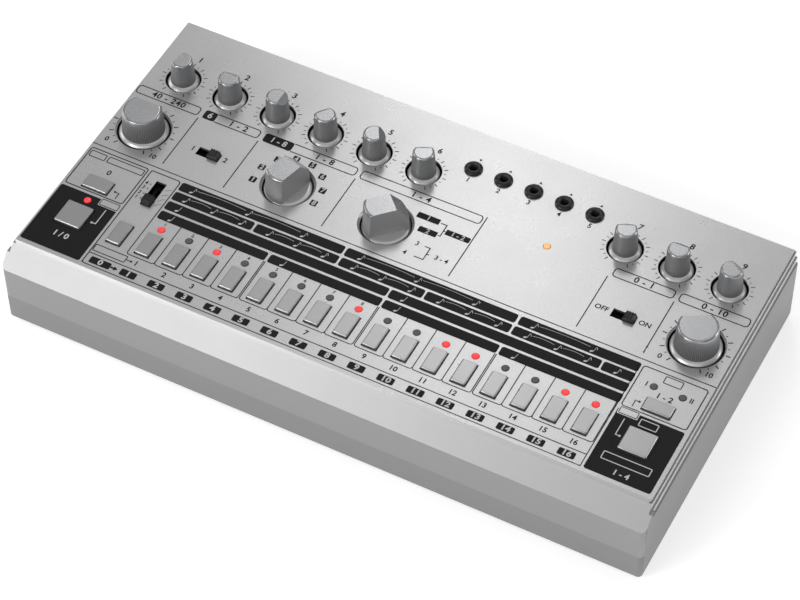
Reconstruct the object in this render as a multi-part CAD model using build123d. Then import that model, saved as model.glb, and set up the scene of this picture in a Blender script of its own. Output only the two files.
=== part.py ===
from build123d import *
import math
import os

# Desktop drum machine: a flat plastic case with a steel control panel on top.
# All lengths are millimetres.
#
# Case coordinates used while modelling: X to the right, Y from the front of the
# case (y = 0) to the back, Z up from the underside of the case (z = 0).
# At export everything is shifted so that the origin is the centre of the
# bottom of the whole machine, on the surface that its rubber feet stand on.

# ---------------------------------------------------------------- driving dimensions
CASE_W = 305.0          # width over the side walls
CASE_D = 158.8          # depth of the case without the sockets' noses
OVERALL_D = 165.0       # depth over the main output socket's nose
CASE_H = 41.4           # underside of the case to the top of the control panel
FOOT_H = 1.8            # how far the feet stand out of the underside
PARTING_Z = 14.0        # joint between the bottom case and the upper case
WALL = 2.2              # front, rear and floor thickness
SIDE_IN = 149.2         # inner face of the side walls, from the centre
CORNER_R = 2.1          # front vertical corners
REAR_R = 1.0            # rear vertical corners
BOTTOM_R = 0.6          # lower outside edge
BEVEL = 10.2            # the front bevel runs 10.2 back and 10.2 up
PANEL_T = 1.2           # thickness of the control panel
PANEL_Y0 = 9.0          # front edge of the control panel, in the plane of the front bevel
PANEL_R = 1.5           # front corners of the control panel
PANEL_X = 150.4         # half width of the control panel
PANEL_GROOVE = (73.75, 74.25, 0.45)   # shallow groove that parts the upper and the lower field: y, y, depth
PANEL_Y1 = 158.2        # back edge of the control panel
LEDGE_1_Z, LEDGE_1_X = 37.0, 151.0    # upper side ledge
LEDGE_2_Z, LEDGE_2_X = 33.6, 151.75   # lower side ledge
LEDGE_2_Y = 7.2                       # front end of the lower ledge

BOARD_Z = 27.0          # top of the main board
BOARD_T = 1.6
JACK_BOARD_Z = 13.6     # top of the rear jack board
REAR_T = 2.1            # thickness of the rear panel

SMALL_HOLE, BIG_HOLE, SELECTOR_HOLE = 8.1, 12.1, 11.5   # wells round the dials
COLLAR_T, COLLAR_D = 1.1, 3.0                            # collar under a big well: wall and depth
SHAFT_R = 2.98
BUSH_BORE = 3.04
BUTTON_UP = 1.4         # button tops above the panel
BUTTON_TRAVEL = 0.8
BUTTON_GAP = 0.4

SMALL_KNOBS = {         # name: (x, y, pointer angle clockwise from straight back)
    "knob_accent": (-134.05, 125.7, -81.0),
    "knob_bass_drum": (-109.7, 125.7, 0.0),
    "knob_snare_drum": (-85.3, 125.7, 90.0),
    "knob_tom": (-60.9, 125.7, -54.0),
    "knob_cymbal": (-36.5, 125.7, 60.0),
    "knob_hi_hat": (-12.0, 125.7, -26.0),
    "knob_distortion": (85.2, 125.7, -23.0),
    "knob_tone": (109.6, 125.7, 0.0),
    "knob_level": (134.0, 125.7, 34.0),
}
BIG_KNOBS = {
    "knob_tempo": (-134.4, 91.4, 0.0),
    "knob_volume": (133.8, 91.3, -30.0),
}
SELECTORS = {
    "selector_instrument": (-61.1, 91.2, 15.0),
    "selector_mode": (-12.6, 91.2, 45.0),
}
STEP_X0, STEP_PITCH = -97.42, 13.808              # step buttons
LED_X0, LED_PITCH, LED_Y = -96.97, 13.795, 43.4   # their lights
BUTTONS = {             # name: (x, y, width, depth)
    "button_start_stop": (-134.89, 33.26, 12.7, 12.7),
    "button_clear": (-134.89, 53.14, 12.6, 7.0),
    "button_function": (-111.77, 33.14, 6.7, 12.2),
    "button_pattern_group": (133.67, 53.08, 12.6, 6.3),
    "button_write_next": (133.49, 33.2, 12.8, 12.6),
}
for i in range(16):
    BUTTONS["button_step_%02d" % (i + 1)] = (STEP_X0 + STEP_PITCH * i, 33.14, 6.7, 12.2)
STATUS_LEDS = [(-134.4, 43.5), (127.3, 62.8), (140.3, 62.8), (55.0, 111.3)]
PANEL_JACKS = [(6.95 + 14.7 * i, 136.8) for i in range(5)]
SLOT_X = {"slider_voice_select": (-106.5, -95.3), "slider_distortion": (95.0, 106.2)}
SLOT_Y = (88.7, 93.4)
SCALE_SLOT = (-113.2, -108.1, 52.1, 67.1)

VOICE_JACKS = [(-104.0 + 14.0 * i, 18.8) for i in range(8)]   # (x, z) on the rear
MAIN_JACK = (-128.0, 22.6)
MIDI = [(28.0, 22.8), (54.0, 22.8)]
USB = (79.0, 19.2)
DC = (101.0, 19.8)
POWER = (124.0, 20.0)

TOP = CASE_H
UNDER = CASE_H - PANEL_T


# ---------------------------------------------------------------- helpers
def box(x0, x1, y0, y1, z0, z1):
    return Pos((x0 + x1) / 2, (y0 + y1) / 2, (z0 + z1) / 2) * Box(x1 - x0, y1 - y0, z1 - z0)


def cyl(x, y, z0, z1, r):
    return Pos(x, y, (z0 + z1) / 2) * Cylinder(r, z1 - z0)


def cyl_y(x, z, y0, y1, r):
    return Pos(x, (y0 + y1) / 2, z) * Rot(90, 0, 0) * Cylinder(r, y1 - y0)


def spin(points):
    """Solid of revolution about Z from (radius, height) points."""
    return revolve(make_face(Polyline(*[(r, 0, z) for r, z in points], close=True).edges()), Axis.Z)


def prism_x(points, x0, x1):
    """Prism along X from (y, z) points."""
    face = make_face(Polyline(*[(x0, y, z) for y, z in points], close=True).edges())
    return extrude(face, amount=x1 - x0, dir=(1, 0, 0))


def solids(shape):
    return list(shape.solids())


def save(name, *shapes):
    os.makedirs("parts", exist_ok=True)
    pieces = []
    for s in shapes:
        pieces += solids(s)
    moved = [Pos(0, -OVERALL_D / 2, FOOT_H) * s for s in pieces]
    out = moved[0] if len(moved) == 1 else Compound(children=moved)
    out.label = name
    export_step(out, os.path.join("parts", name + ".step"))


# ---------------------------------------------------------------- case
def case_block():
    """The outside of the whole case, before it is parted into shells."""
    with BuildSketch() as s:
        with Locations((0, CASE_D / 2)):
            Rectangle(CASE_W, CASE_D)
        front = s.vertices().filter_by(lambda v: v.Y < 1)
        fillet(front, CORNER_R)
        back = s.vertices().filter_by(lambda v: v.Y > CASE_D - 1)
        fillet(back, REAR_R)
    block = extrude(s.sketch, CASE_H)
    block = fillet(block.faces().sort_by(Axis.Z)[0].edges(), BOTTOM_R)
    # the front bevel
    block -= prism_x([(-5, CASE_H - BEVEL - 5), (BEVEL + 5, CASE_H + 5), (-5, CASE_H + 5)],
                     -CASE_W, CASE_W)
    for side in (-1, 1):
        xs = sorted((side * LEDGE_1_X, side * (CASE_W / 2 + 5)))
        block -= box(xs[0], xs[1], -5, CASE_D + 5, LEDGE_1_Z, CASE_H + 5)
        xs = sorted((side * LEDGE_2_X, side * (CASE_W / 2 + 5)))
        r = (LEDGE_1_Z - LEDGE_2_Z) / 2
        groove = box(xs[0], xs[1], LEDGE_2_Y + r, CASE_D + 5, LEDGE_2_Z, LEDGE_1_Z + 0.01)
        tip = Pos((xs[0] + xs[1]) / 2, LEDGE_2_Y + r, LEDGE_2_Z + r) * Rot(0, 90, 0) \
            * Cylinder(r, xs[1] - xs[0])
        block = block - groove - tip
    return block


def cavity(z0, z1):
    """The hollow inside the case between two heights: it follows the bevel."""
    y_in = WALL
    k = CASE_H - BEVEL - WALL * 0.414        # the inner bevel starts here
    top = UNDER - 2.0                         # under the panel's ledge
    pts = [(y_in, z0), (y_in, min(k, z1))]
    if z1 > k:
        pts += [(y_in + (min(z1, top) - k), min(z1, top)), (CASE_D + 5, min(z1, top))]
    else:
        pts += [(CASE_D + 5, z1)]
    pts += [(CASE_D + 5, z0)]
    return prism_x(pts, -SIDE_IN, SIDE_IN)


BLOCK = case_block()
SCREWS = [(s * 145.0, y) for s in (-1, 1) for y in (15.0, 66.0, 147.0)]
POSTS = [(-98.0, 14.0), (0.0, 14.0), (98.0, 14.0), (-98.0, 62.0), (0.0, 62.0), (98.0, 62.0),
         (-78.0, 106.0), (78.0, 108.0)]
JACK_POSTS = [(-112.0, 138.0), (0.0, 138.0), (65.0, 138.0), (112.0, 138.0)]
FEET = [(sx * 132.0, y) for sx in (-1, 1) for y in (20.0, 139.0)]


def upper_case():
    body = BLOCK & box(-200, 200, -5, CASE_D + 5, PARTING_Z, UNDER)
    body -= cavity(PARTING_Z - 1, 60)
    body -= box(-SIDE_IN + 0.8, SIDE_IN - 0.8, 13.2, CASE_D + 5, UNDER - 3, UNDER + 1)
    # the ledge under the panel ends in front of the rear panel
    body -= box(-SIDE_IN, SIDE_IN, CASE_D - REAR_T - 0.1, CASE_D + 5, UNDER - 3, UNDER + 1)
    return body


def bottom_case():
    """The lower case: a frame of low walls round the base plate."""
    walls = BLOCK & box(-200, 200, -5, CASE_D + 5, -5, PARTING_Z)
    walls -= box(-SIDE_IN, SIDE_IN, WALL, CASE_D - WALL, -5, PARTING_Z + 5)
    # opening for the rear panel
    walls -= box(-SIDE_IN, SIDE_IN, CASE_D - WALL - 1, CASE_D + 5, 5.0, PARTING_Z + 5)
    return walls


def base_plate():
    """The floor of the case, set into the frame, with holes for the screw heads and seats for the feet."""
    plate = box(-SIDE_IN, SIDE_IN, WALL, CASE_D - WALL, 0, WALL)
    for x, y in SCREWS:
        plate -= cyl(x, y, -1, WALL + 1, 3.2)
    for x, y in FEET:
        plate -= cyl(x, y, -1, 0.6, 7.1)
    return plate


def case_posts():
    """Screw bosses of the two shells and the posts that carry the boards."""
    posts = []
    for x, y in SCREWS:
        side = 1 if x > 0 else -1
        xs = sorted((x, side * SIDE_IN))
        posts.append(cyl(x, y, WALL, PARTING_Z, 4.0) - cyl(x, y, 0, 6.0, 3.2) - cyl(x, y, 5, PARTING_Z + 1, 1.7))
        boss = cyl(x, y, PARTING_Z, 34.0, 3.8) + box(xs[0], xs[1], y - 2, y + 2, PARTING_Z, 34.0)
        posts.append(boss - cyl(x, y, PARTING_Z - 1, 31.0, 1.5))
    for x, y in POSTS:
        posts.append(cyl(x, y, WALL, BOARD_Z - BOARD_T, 3.0) - cyl(x, y, 15.0, BOARD_Z, 1.25))
    for x, y in JACK_POSTS:
        posts.append(cyl(x, y, WALL, JACK_BOARD_Z - BOARD_T, 2.6))
    return posts


def button_hole(name):
    x, y, w, d = BUTTONS[name]
    g = BUTTON_GAP
    return box(x - w / 2 - g, x + w / 2 + g, y - d / 2 - g, y + d / 2 + g, UNDER - 5, TOP + 1)


def control_panel():
    body = box(-PANEL_X, PANEL_X, PANEL_Y0, PANEL_Y1, UNDER, TOP)
    body = BLOCK & fillet(body.edges().filter_by(Axis.Z).sort_by(Axis.Y)[:2], PANEL_R)
    y0, y1, deep = PANEL_GROOVE
    body -= box(-PANEL_X - 1, PANEL_X + 1, y0, y1, TOP - deep, TOP + 1)
    big = [(v, BIG_HOLE, 0.8) for v in BIG_KNOBS.values()] + [(v, SELECTOR_HOLE, 1.05) for v in SELECTORS.values()]
    # a collar under each big well, against the underside of the sheet
    collars = [cyl(x, y, TOP - COLLAR_D, UNDER, r + COLLAR_T) - cyl(x, y, TOP - COLLAR_D - 1, TOP, r)
               for (x, y, _), r, c in big]
    for (x, y, _), r, c in [(v, SMALL_HOLE, 0.2) for v in SMALL_KNOBS.values()] + big:
        body -= cyl(x, y, UNDER - 1, TOP + 1, r)
        body -= Pos(x, y, 0) * spin([(0, TOP - c), (r, TOP - c), (r + c, TOP),
                                     (r + c, TOP + 0.5), (0, TOP + 0.5)])
    for name in BUTTONS:
        body -= button_hole(name)
    for i in range(16):
        body -= cyl(LED_X0 + LED_PITCH * i, LED_Y, UNDER - 1, TOP + 1, 1.8)
    for x, y in STATUS_LEDS:
        body -= cyl(x, y, UNDER - 1, TOP + 1, 1.8)
    for x, y in PANEL_JACKS:
        body -= cyl(x, y, UNDER - 1, TOP + 1, 3.05)
    for x0, x1 in SLOT_X.values():
        body -= box(x0, x1, SLOT_Y[0], SLOT_Y[1], UNDER - 1, TOP + 1)
    x0, x1, y0, y1 = SCALE_SLOT
    body -= box(x0, x1, y0, y1, UNDER - 1, TOP + 1)
    return [body] + collars


def rear_panel():
    body = box(-SIDE_IN + 0.1, SIDE_IN - 0.1, CASE_D - REAR_T, CASE_D, 5.1, UNDER - 0.1)
    for x, z in VOICE_JACKS:
        body -= cyl_y(x, z, CASE_D - 5, CASE_D + 5, 3.05)
    body -= cyl_y(MAIN_JACK[0], MAIN_JACK[1], CASE_D - 5, CASE_D + 5, 5.5)
    for x, z in MIDI:
        body -= cyl_y(x, z, CASE_D - 5, CASE_D + 5, 8.3)
    body -= box(USB[0] - 6.1, USB[0] + 6.1, CASE_D - 5, CASE_D + 5, USB[1] - 5.6, USB[1] + 5.6)
    body -= cyl_y(DC[0], DC[1], CASE_D - 5, CASE_D + 5, 4.1)
    body -= box(POWER[0] - 4.6, POWER[0] + 4.6, CASE_D - 5, CASE_D + 5, POWER[1] - 2.4, POWER[1] + 2.4)
    return body


def case_screw(x, y):
    """Pan-head screw with a cross recess, driven from below."""
    s = cyl(x, y, 4.2, 6.0, 2.9) + cyl(x, y, 6.0, 28.0, 1.45)
    return s - box(x - 1.7, x + 1.7, y - 0.4, y + 0.4, 4.0, 5.3) - box(x - 0.4, x + 0.4, y - 1.7, y + 1.7, 4.0, 5.3)


save("control_panel", *control_panel())
save("upper_case", upper_case())
save("bottom_case", bottom_case())
save("base_plate", base_plate())
save("case_posts", *case_posts())
save("rear_panel", rear_panel())
save("rubber_feet", *[cyl(x, y, -FOOT_H, 0.6, 7.0) for x, y in FEET])
save("screws", *[case_screw(x, y) for x, y in SCREWS],
     *[cyl(x, y, BOARD_Z, BOARD_Z + 1.6, 2.3) + cyl(x, y, 17.0, BOARD_Z, 1.2) for x, y in POSTS])


# ---------------------------------------------------------------- boards and what is soldered on them
def main_board():
    body = box(-140.5, 140.5, 6.0, 132.4, BOARD_Z - BOARD_T, BOARD_Z)
    body += box(0.5, 73.5, 132.0, 142.0, BOARD_Z - BOARD_T, BOARD_Z)
    for x, y in POSTS:
        body -= cyl(x, y, BOARD_Z - 5, BOARD_Z + 1, 1.3)
    return body


under = BOARD_Z - BOARD_T
chips = [box(-30, -20, 96, 106, under - 1.4, under), box(30, 38, 70, 78, under - 1.4, under),
         box(60, 64, 60, 69, under - 1.4, under), box(-70, -64, 66, 74, under - 1.4, under),
         box(10, 20, 84, 90, BOARD_Z, BOARD_Z + 1.8)]
link = box(84.0, 96.0, 126.5, 130.5, JACK_BOARD_Z, under)      # board-to-board header
save("main_board", main_board(), *chips)
save("jack_board", box(-140.0, 135.0, 124.0, 156.2, JACK_BOARD_Z - BOARD_T, JACK_BOARD_Z), link)


def potentiometer(x, y, size, height):
    z1 = BOARD_Z + height
    body = box(x - size / 2, x + size / 2, y - size / 2, y + size / 2, BOARD_Z, z1)
    body += cyl(x, y, z1, TOP - 3.0, 3.45)
    body -= cyl(x, y, BOARD_Z + 2.0, TOP, BUSH_BORE)
    return body


def rotary_switch(x, y):
    body = cyl(x, y, BOARD_Z, 36.0, 8.6) + cyl(x, y, 36.0, TOP - 3.0, 4.4)
    body -= cyl(x, y, BOARD_Z + 2.0, TOP, BUSH_BORE)
    return body


# potentiometers under the round dials and rotary switches under the two selectors
save("rotary_controls",
     *[potentiometer(x, y, 9.8, 6.5) for x, y, _ in SMALL_KNOBS.values()],
     *[potentiometer(x, y, 11.0, 7.0) for x, y, _ in BIG_KNOBS.values()],
     *[rotary_switch(x, y) for x, y, _ in SELECTORS.values()])


def tact_switch(x, y):
    return box(x - 3.1, x + 3.1, y - 3.1, y + 3.1, BOARD_Z, BOARD_Z + 3.8) \
        - cyl(x, y, BOARD_Z + 0.6, BOARD_Z + 5, 1.95)


save("tact_switches", *[tact_switch(b[0], b[1]) for b in BUTTONS.values()])


def switch_body(x0, x1, y0, y1, cx0, cx1, cy0, cy1):
    """Slide switch under the panel, with the slot that its tongue runs in."""
    return box(x0, x1, y0, y1, BOARD_Z, 37.0) - box(cx0, cx1, cy0, cy1, 32.0, 38.0)


SLIDE_W, SLIDE_TRAVEL = 5.4, 5.0          # two-way sliders
SCALE_D, SCALE_STEP = 5.2, 3.0            # four-way slider
ym = (SLOT_Y[0] + SLOT_Y[1]) / 2
bodies = []
for name, (x0, x1) in SLOT_X.items():
    bodies.append(switch_body(x0 - 1.5, x1 + 1.5, ym - 3.2, ym + 3.2, x0 + 1.2, x1 - 1.2, ym - 1.5, ym + 1.5))
sx0, sx1, sy0, sy1 = SCALE_SLOT
sxm = (sx0 + sx1) / 2
bodies.append(switch_body(sxm - 3.2, sxm + 3.2, sy0 - 1.5, sy1 + 1.5, sxm - 1.5, sxm + 1.5, sy0 + 1.2, sy1 - 1.2))
# power switch behind the rear panel
power_body = box(POWER[0] - 8.0, POWER[0] + 8.0, 146.0, CASE_D - REAR_T - 0.1, JACK_BOARD_Z, POWER[1] + 4.0) \
    - box(POWER[0] - 4.4, POWER[0] + 4.4, 151.0, CASE_D, POWER[1] - 1.5, POWER[1] + 1.5)
save("slide_switches", *bodies, power_body)


def led(x, y):
    dome = Pos(x, y, 0) * spin([(0, 36.0), (1.65, 36.0), (1.65, TOP + 0.1), (1.35, TOP + 0.45), (0, TOP + 0.55)])
    return dome + cyl(x, y, BOARD_Z, 36.2, 1.3)


save("step_leds", *[led(LED_X0 + LED_PITCH * i, LED_Y) for i in range(16)])
save("status_leds", *[led(x, y) for x, y in STATUS_LEDS])

NOSE_R, NUT_R = 2.95, 4.4
PANEL_NUT_R = 4.2       # the panel sockets' nuts are low and domed
JACK_R = 1.8
FUNNEL_Z = TOP + 1.05   # the mouth of a panel socket widens above this height


def panel_jack(x, y):
    body = box(x - 4.5, x + 4.5, y - 5.2, y + 5.2, BOARD_Z, 38.4) + cyl(x, y, 38.4, TOP + 1.55, NOSE_R)
    mouth = spin([(0, FUNNEL_Z), (JACK_R, FUNNEL_Z), (JACK_R + 0.6, TOP + 1.56), (0, TOP + 1.56)])
    return body - cyl(x, y, BOARD_Z + 1.6, TOP + 3, JACK_R) - Pos(x, y, 0) * mouth


save("panel_jacks", *[panel_jack(x, y) for x, y in PANEL_JACKS])


def voice_jack(x, z):
    body = box(x - 4.2, x + 4.2, 143.8, CASE_D - REAR_T - 0.1, JACK_BOARD_Z, JACK_BOARD_Z + 10.2)
    body += cyl_y(x, z, CASE_D - REAR_T - 0.1, CASE_D + 2.2, NOSE_R)
    return body - cyl_y(x, z, 146.5, CASE_D + 5, JACK_R)


save("voice_output_jacks", *[voice_jack(x, z) for x, z in VOICE_JACKS])

mx, mz = MAIN_JACK
main = box(mx - 8.5, mx + 8.5, 132.9, CASE_D - REAR_T - 0.1, JACK_BOARD_Z, JACK_BOARD_Z + 18.0)
main += cyl_y(mx, mz, CASE_D - REAR_T - 0.1, OVERALL_D, 5.4)
main -= cyl_y(mx, mz, 135.5, OVERALL_D + 2, 3.25)
save("main_output_jack", main)

nuts = [Pos(x, y, 0) * spin([(NOSE_R + 0.03, TOP), (PANEL_NUT_R, TOP), (PANEL_NUT_R, TOP + 0.6),
                             (PANEL_NUT_R - 0.5, TOP + 1.25), (NOSE_R + 0.03, TOP + 1.6)]) for x, y in PANEL_JACKS]
nuts += [cyl_y(x, z, CASE_D, CASE_D + 1.8, NUT_R) - cyl_y(x, z, CASE_D - 1, CASE_D + 5, NOSE_R + 0.03)
         for x, z in VOICE_JACKS]
nuts += [cyl_y(mx, mz, CASE_D, CASE_D + 2.6, 8.0) - cyl_y(mx, mz, CASE_D - 1, CASE_D + 8, 5.43)]
save("jack_nuts", *nuts)


def midi_socket(x, z):
    body = box(x - 9.8, x + 9.8, 143.0, CASE_D - REAR_T - 0.1, JACK_BOARD_Z, JACK_BOARD_Z + 18.4)
    body += cyl_y(x, z, CASE_D - REAR_T - 0.1, CASE_D + 0.6, 8.2)
    return body - cyl_y(x, z, 149.0, CASE_D + 5, 7.4)


save("midi_sockets", *[midi_socket(x, z) for x, z in MIDI])

ux, uz = USB
usb = box(ux - 6.0, ux + 6.0, 141.5, CASE_D + 0.4, JACK_BOARD_Z, uz + 5.5)
usb -= box(ux - 4.25, ux + 4.25, 149.0, CASE_D + 5, uz - 3.9, uz + 3.9)
usb += box(ux - 2.8, ux + 2.8, 148.0, CASE_D - 0.6, uz - 1.5, uz + 1.5)
save("usb_socket", usb)

dx, dz = DC
dc = box(dx - 4.6, dx + 4.6, 143.0, CASE_D - REAR_T - 0.1, JACK_BOARD_Z, dz + 5.2)
dc += cyl_y(dx, dz, CASE_D - REAR_T - 0.1, CASE_D + 0.4, 4.0)
dc -= cyl_y(dx, dz, 148.0, CASE_D + 5, 2.9)
save("dc_inlet", dc, cyl_y(dx, dz, 148.0, CASE_D - 0.8, 1.0))      # the pin stands on the bottom of the recess


# ---------------------------------------------------------------- dials
def shaft(length_up):
    """Round shaft with one flat, as it stands when the dial points straight back."""
    s = cyl(0, 0, BOARD_Z + 2.3, TOP + length_up, SHAFT_R)
    return s - box(-5, 5, 1.5, 5, TOP - 1.4, TOP + length_up + 1)


def shaft_hole(length_up):
    s = cyl(0, 0, TOP - 5, TOP + length_up + 0.3, SHAFT_R + 0.02)
    return s - box(-5, 5, 1.52, 5, TOP - 1.4, TOP + length_up + 1)


def facet(chord, drop, run, h):
    """What the slanted pointer facet takes away: it falls by drop over run, beyond the chord."""
    k = drop / run
    far = 20.0
    return prism_x([(chord, TOP + h), (chord + far, TOP + h - k * far), (chord + far, TOP + h + 2),
                    (chord, TOP + h + 2)], -20, 20)


def round_knob(r_top, r_base, h, r_skirt, chord, drop, run, up):
    e = 0.45
    body = spin([(0, TOP - 1.9), (r_skirt - 0.3, TOP - 1.9), (r_skirt, TOP - 1.6), (r_skirt, TOP - 0.9),
                 (r_base + 0.15, TOP + 0.35), (r_base, TOP + 0.5), (r_top + 0.05, TOP + h - e),
                 (r_top - e, TOP + h), (0, TOP + h)])
    return body - facet(chord, drop, run, h) - shaft_hole(up)


def selector_knob(h, up):
    """A flat disc in the well with a thick pointer bar across it."""
    disc = spin([(0, TOP - 2.4), (10.75, TOP - 2.4), (10.9, TOP - 2.2), (10.55, TOP - 1.6), (9.7, TOP - 1.15),
                 (9.2, TOP - 1.1), (0, TOP - 1.1)])
    bar = spin([(0, TOP - 1.6), (10.3, TOP - 1.6), (9.65, TOP + h - 0.5), (9.2, TOP + h), (0, TOP + h)])
    flanks = make_face(Polyline((-5.1, -20, TOP - 1.6), (5.1, -20, TOP - 1.6), (4.95, -20, TOP + h + 0.01),
                                (-4.95, -20, TOP + h + 0.01), close=True).edges())
    bar = bar & extrude(flanks, amount=40, dir=(0, 1, 0))
    bar = bar - facet(3.5, 8.4, 7.0, h)
    return (disc + bar) - shaft_hole(up)


for name, (x, y, a) in SMALL_KNOBS.items():
    place = Pos(x, y, 0) * Rot(0, 0, -a)
    save(name, place * round_knob(4.8, 5.6, 12.8, 7.25, 2.1, 2.6, 3.0, 7.5), place * shaft(7.5))
for name, (x, y, a) in BIG_KNOBS.items():
    place = Pos(x, y, 0) * Rot(0, 0, -a)
    save(name, place * round_knob(8.8, 9.7, 12.4, 11.2, 5.5, 3.6, 2.77, 8.5), place * shaft(8.5))
for name, (x, y, a) in SELECTORS.items():
    place = Pos(x, y, 0) * Rot(0, 0, -a)
    save(name, place * selector_knob(12.8, 8.0), place * shaft(8.0))


# ---------------------------------------------------------------- buttons
def button(x, y, w, d):
    top = TOP + BUTTON_UP
    cap = box(x - w / 2, x + w / 2, y - d / 2, y + d / 2, UNDER - 1.2, top)
    cap = chamfer(cap.faces().sort_by(Axis.Z)[-1].edges(), 0.62)
    flange = box(x - w / 2 - 1.1, x + w / 2 + 1.1, y - d / 2 - 1.1, y + d / 2 + 1.1, UNDER - 1.6, UNDER - 0.35)
    stem = cyl(x, y, 34.0, UNDER - 1.4, 1.9)
    plunger = cyl(x, y, BOARD_Z + 1.7, 34.0, 1.7)
    return cap + flange + stem, plunger


for name, (x, y, w, d) in BUTTONS.items():
    save(name, *button(x, y, w, d))


# ---------------------------------------------------------------- sliders
def two_way(x0, x1):
    """At rest the slider stands at the right-hand end of its slot."""
    xr = x1 - 0.3
    xl = xr - SLIDE_W
    xm = (xl + xr) / 2
    head = box(xl, xr, SLOT_Y[0] + 0.3, SLOT_Y[1] - 0.3, 37.4, TOP + 2.7)
    for k in range(3):
        x = xl + SLIDE_W * (k + 0.62) / 4
        head -= box(x - 0.28, x + 0.28, SLOT_Y[0] - 1, SLOT_Y[1] + 1, TOP + 2.2, TOP + 4)
    return head + box(xm - 1.1, xm + 1.1, ym - 1.2, ym + 1.2, 32.4, 37.6)


for name, (x0, x1) in SLOT_X.items():
    save(name, two_way(x0, x1))

y_lo = sy0 + 0.35
scale_mid = y_lo + SCALE_D / 2
scale = box(sx0 + 0.3, sx1 - 0.3, y_lo, y_lo + SCALE_D, 37.4, TOP + 2.7)
for k in range(3):
    y = y_lo + SCALE_D * (k + 1) / 4
    scale -= box(sx0 - 1, sx1 + 1, y - 0.28, y + 0.28, TOP + 2.2, TOP + 4)
scale += box(sxm - 1.2, sxm + 1.2, scale_mid - 1.1, scale_mid + 1.1, 32.4, 37.6)
save("slider_scale", scale)

# the power slider stands at the left-hand end of its slot (off) at rest
px, pz = POWER
power = box(px - 4.3, px - 0.3, CASE_D - REAR_T + 0.3, CASE_D + 2.4, pz - 2.1, pz + 2.1)
power += box(px - 3.6, px - 1.0, 151.4, CASE_D - REAR_T + 0.4, pz - 1.2, pz + 1.2)
save("slider_power", power)
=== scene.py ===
"""Looks of the desktop drum machine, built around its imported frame. Lengths in the helpers are millimetres in case
coordinates: X to the right, Y from the front of the case to the back, Z up from the underside of the case."""

import math

import bmesh
import bpy
from mathutils import Matrix, Vector


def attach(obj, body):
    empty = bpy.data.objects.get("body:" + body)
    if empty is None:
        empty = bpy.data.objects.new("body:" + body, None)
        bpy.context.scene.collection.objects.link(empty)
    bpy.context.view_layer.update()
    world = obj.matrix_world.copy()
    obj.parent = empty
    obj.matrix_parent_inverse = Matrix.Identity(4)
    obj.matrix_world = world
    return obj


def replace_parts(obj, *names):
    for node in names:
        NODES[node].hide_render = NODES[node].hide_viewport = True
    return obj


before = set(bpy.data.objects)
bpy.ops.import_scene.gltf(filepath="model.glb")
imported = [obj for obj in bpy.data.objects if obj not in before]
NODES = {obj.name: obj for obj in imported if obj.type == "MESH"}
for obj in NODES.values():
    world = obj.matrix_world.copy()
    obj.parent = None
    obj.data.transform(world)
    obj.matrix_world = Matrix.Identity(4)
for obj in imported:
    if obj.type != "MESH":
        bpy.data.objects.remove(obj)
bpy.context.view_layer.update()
scene = bpy.context.scene

MM = 0.001
DY, DZ = -82.5, 1.8            # case coordinates to the row's frame
TOP = 41.4                     # top of the control panel
CASE_D, OVERALL_D = 158.8, 165.0
BEVEL = 10.2


def W(x, y, z):
    return Vector((x * MM, (y + DY) * MM, (z + DZ) * MM))


# ------------------------------------------------------------------ materials
def material(name):
    m = bpy.data.materials.new(name)
    m.use_nodes = True
    nt = m.node_tree
    bsdf = nt.nodes["Principled BSDF"]
    return m, nt, bsdf


def link(nt, a, b):
    nt.links.new(a, b)


def noise(nt, coord, scale, detail=3.0, rough=0.55, dist=0.0):
    n = nt.nodes.new("ShaderNodeTexNoise")
    n.inputs["Scale"].default_value = scale
    n.inputs["Detail"].default_value = detail
    n.inputs["Roughness"].default_value = rough
    n.inputs["Distortion"].default_value = dist
    link(nt, coord, n.inputs["Vector"])
    return n.outputs["Fac"]


def ramp(nt, fac, lo, hi, c0, c1):
    r = nt.nodes.new("ShaderNodeValToRGB")
    r.color_ramp.elements[0].position = lo
    r.color_ramp.elements[1].position = hi
    r.color_ramp.elements[0].color = (*c0, 1) if len(c0) == 3 else c0
    r.color_ramp.elements[1].color = (*c1, 1) if len(c1) == 3 else c1
    link(nt, fac, r.inputs["Fac"])
    return r.outputs["Color"]


def mix(nt, fac, a, b, blend="MIX", amount=None):
    n = nt.nodes.new("ShaderNodeMix")
    n.data_type = "RGBA"
    n.blend_type = blend
    if fac is None:
        n.inputs["Factor"].default_value = amount
    else:
        link(nt, fac, n.inputs["Factor"])
    for src, i in ((a, 6), (b, 7)):
        if isinstance(src, tuple):
            n.inputs[i].default_value = (*src, 1)
        else:
            link(nt, src, n.inputs[i])
    return n.outputs[2]


def maprange(nt, v, a, b, c, d):
    n = nt.nodes.new("ShaderNodeMapRange")
    n.inputs["From Min"].default_value = a
    n.inputs["From Max"].default_value = b
    n.inputs["To Min"].default_value = c
    n.inputs["To Max"].default_value = d
    link(nt, v, n.inputs["Value"])
    return n.outputs["Result"]


def bump(nt, height, strength, distance, normal=None):
    n = nt.nodes.new("ShaderNodeBump")
    n.inputs["Strength"].default_value = strength
    n.inputs["Distance"].default_value = distance
    link(nt, height, n.inputs["Height"])
    if normal is not None:
        link(nt, normal, n.inputs["Normal"])
    return n.outputs["Normal"]


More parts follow.
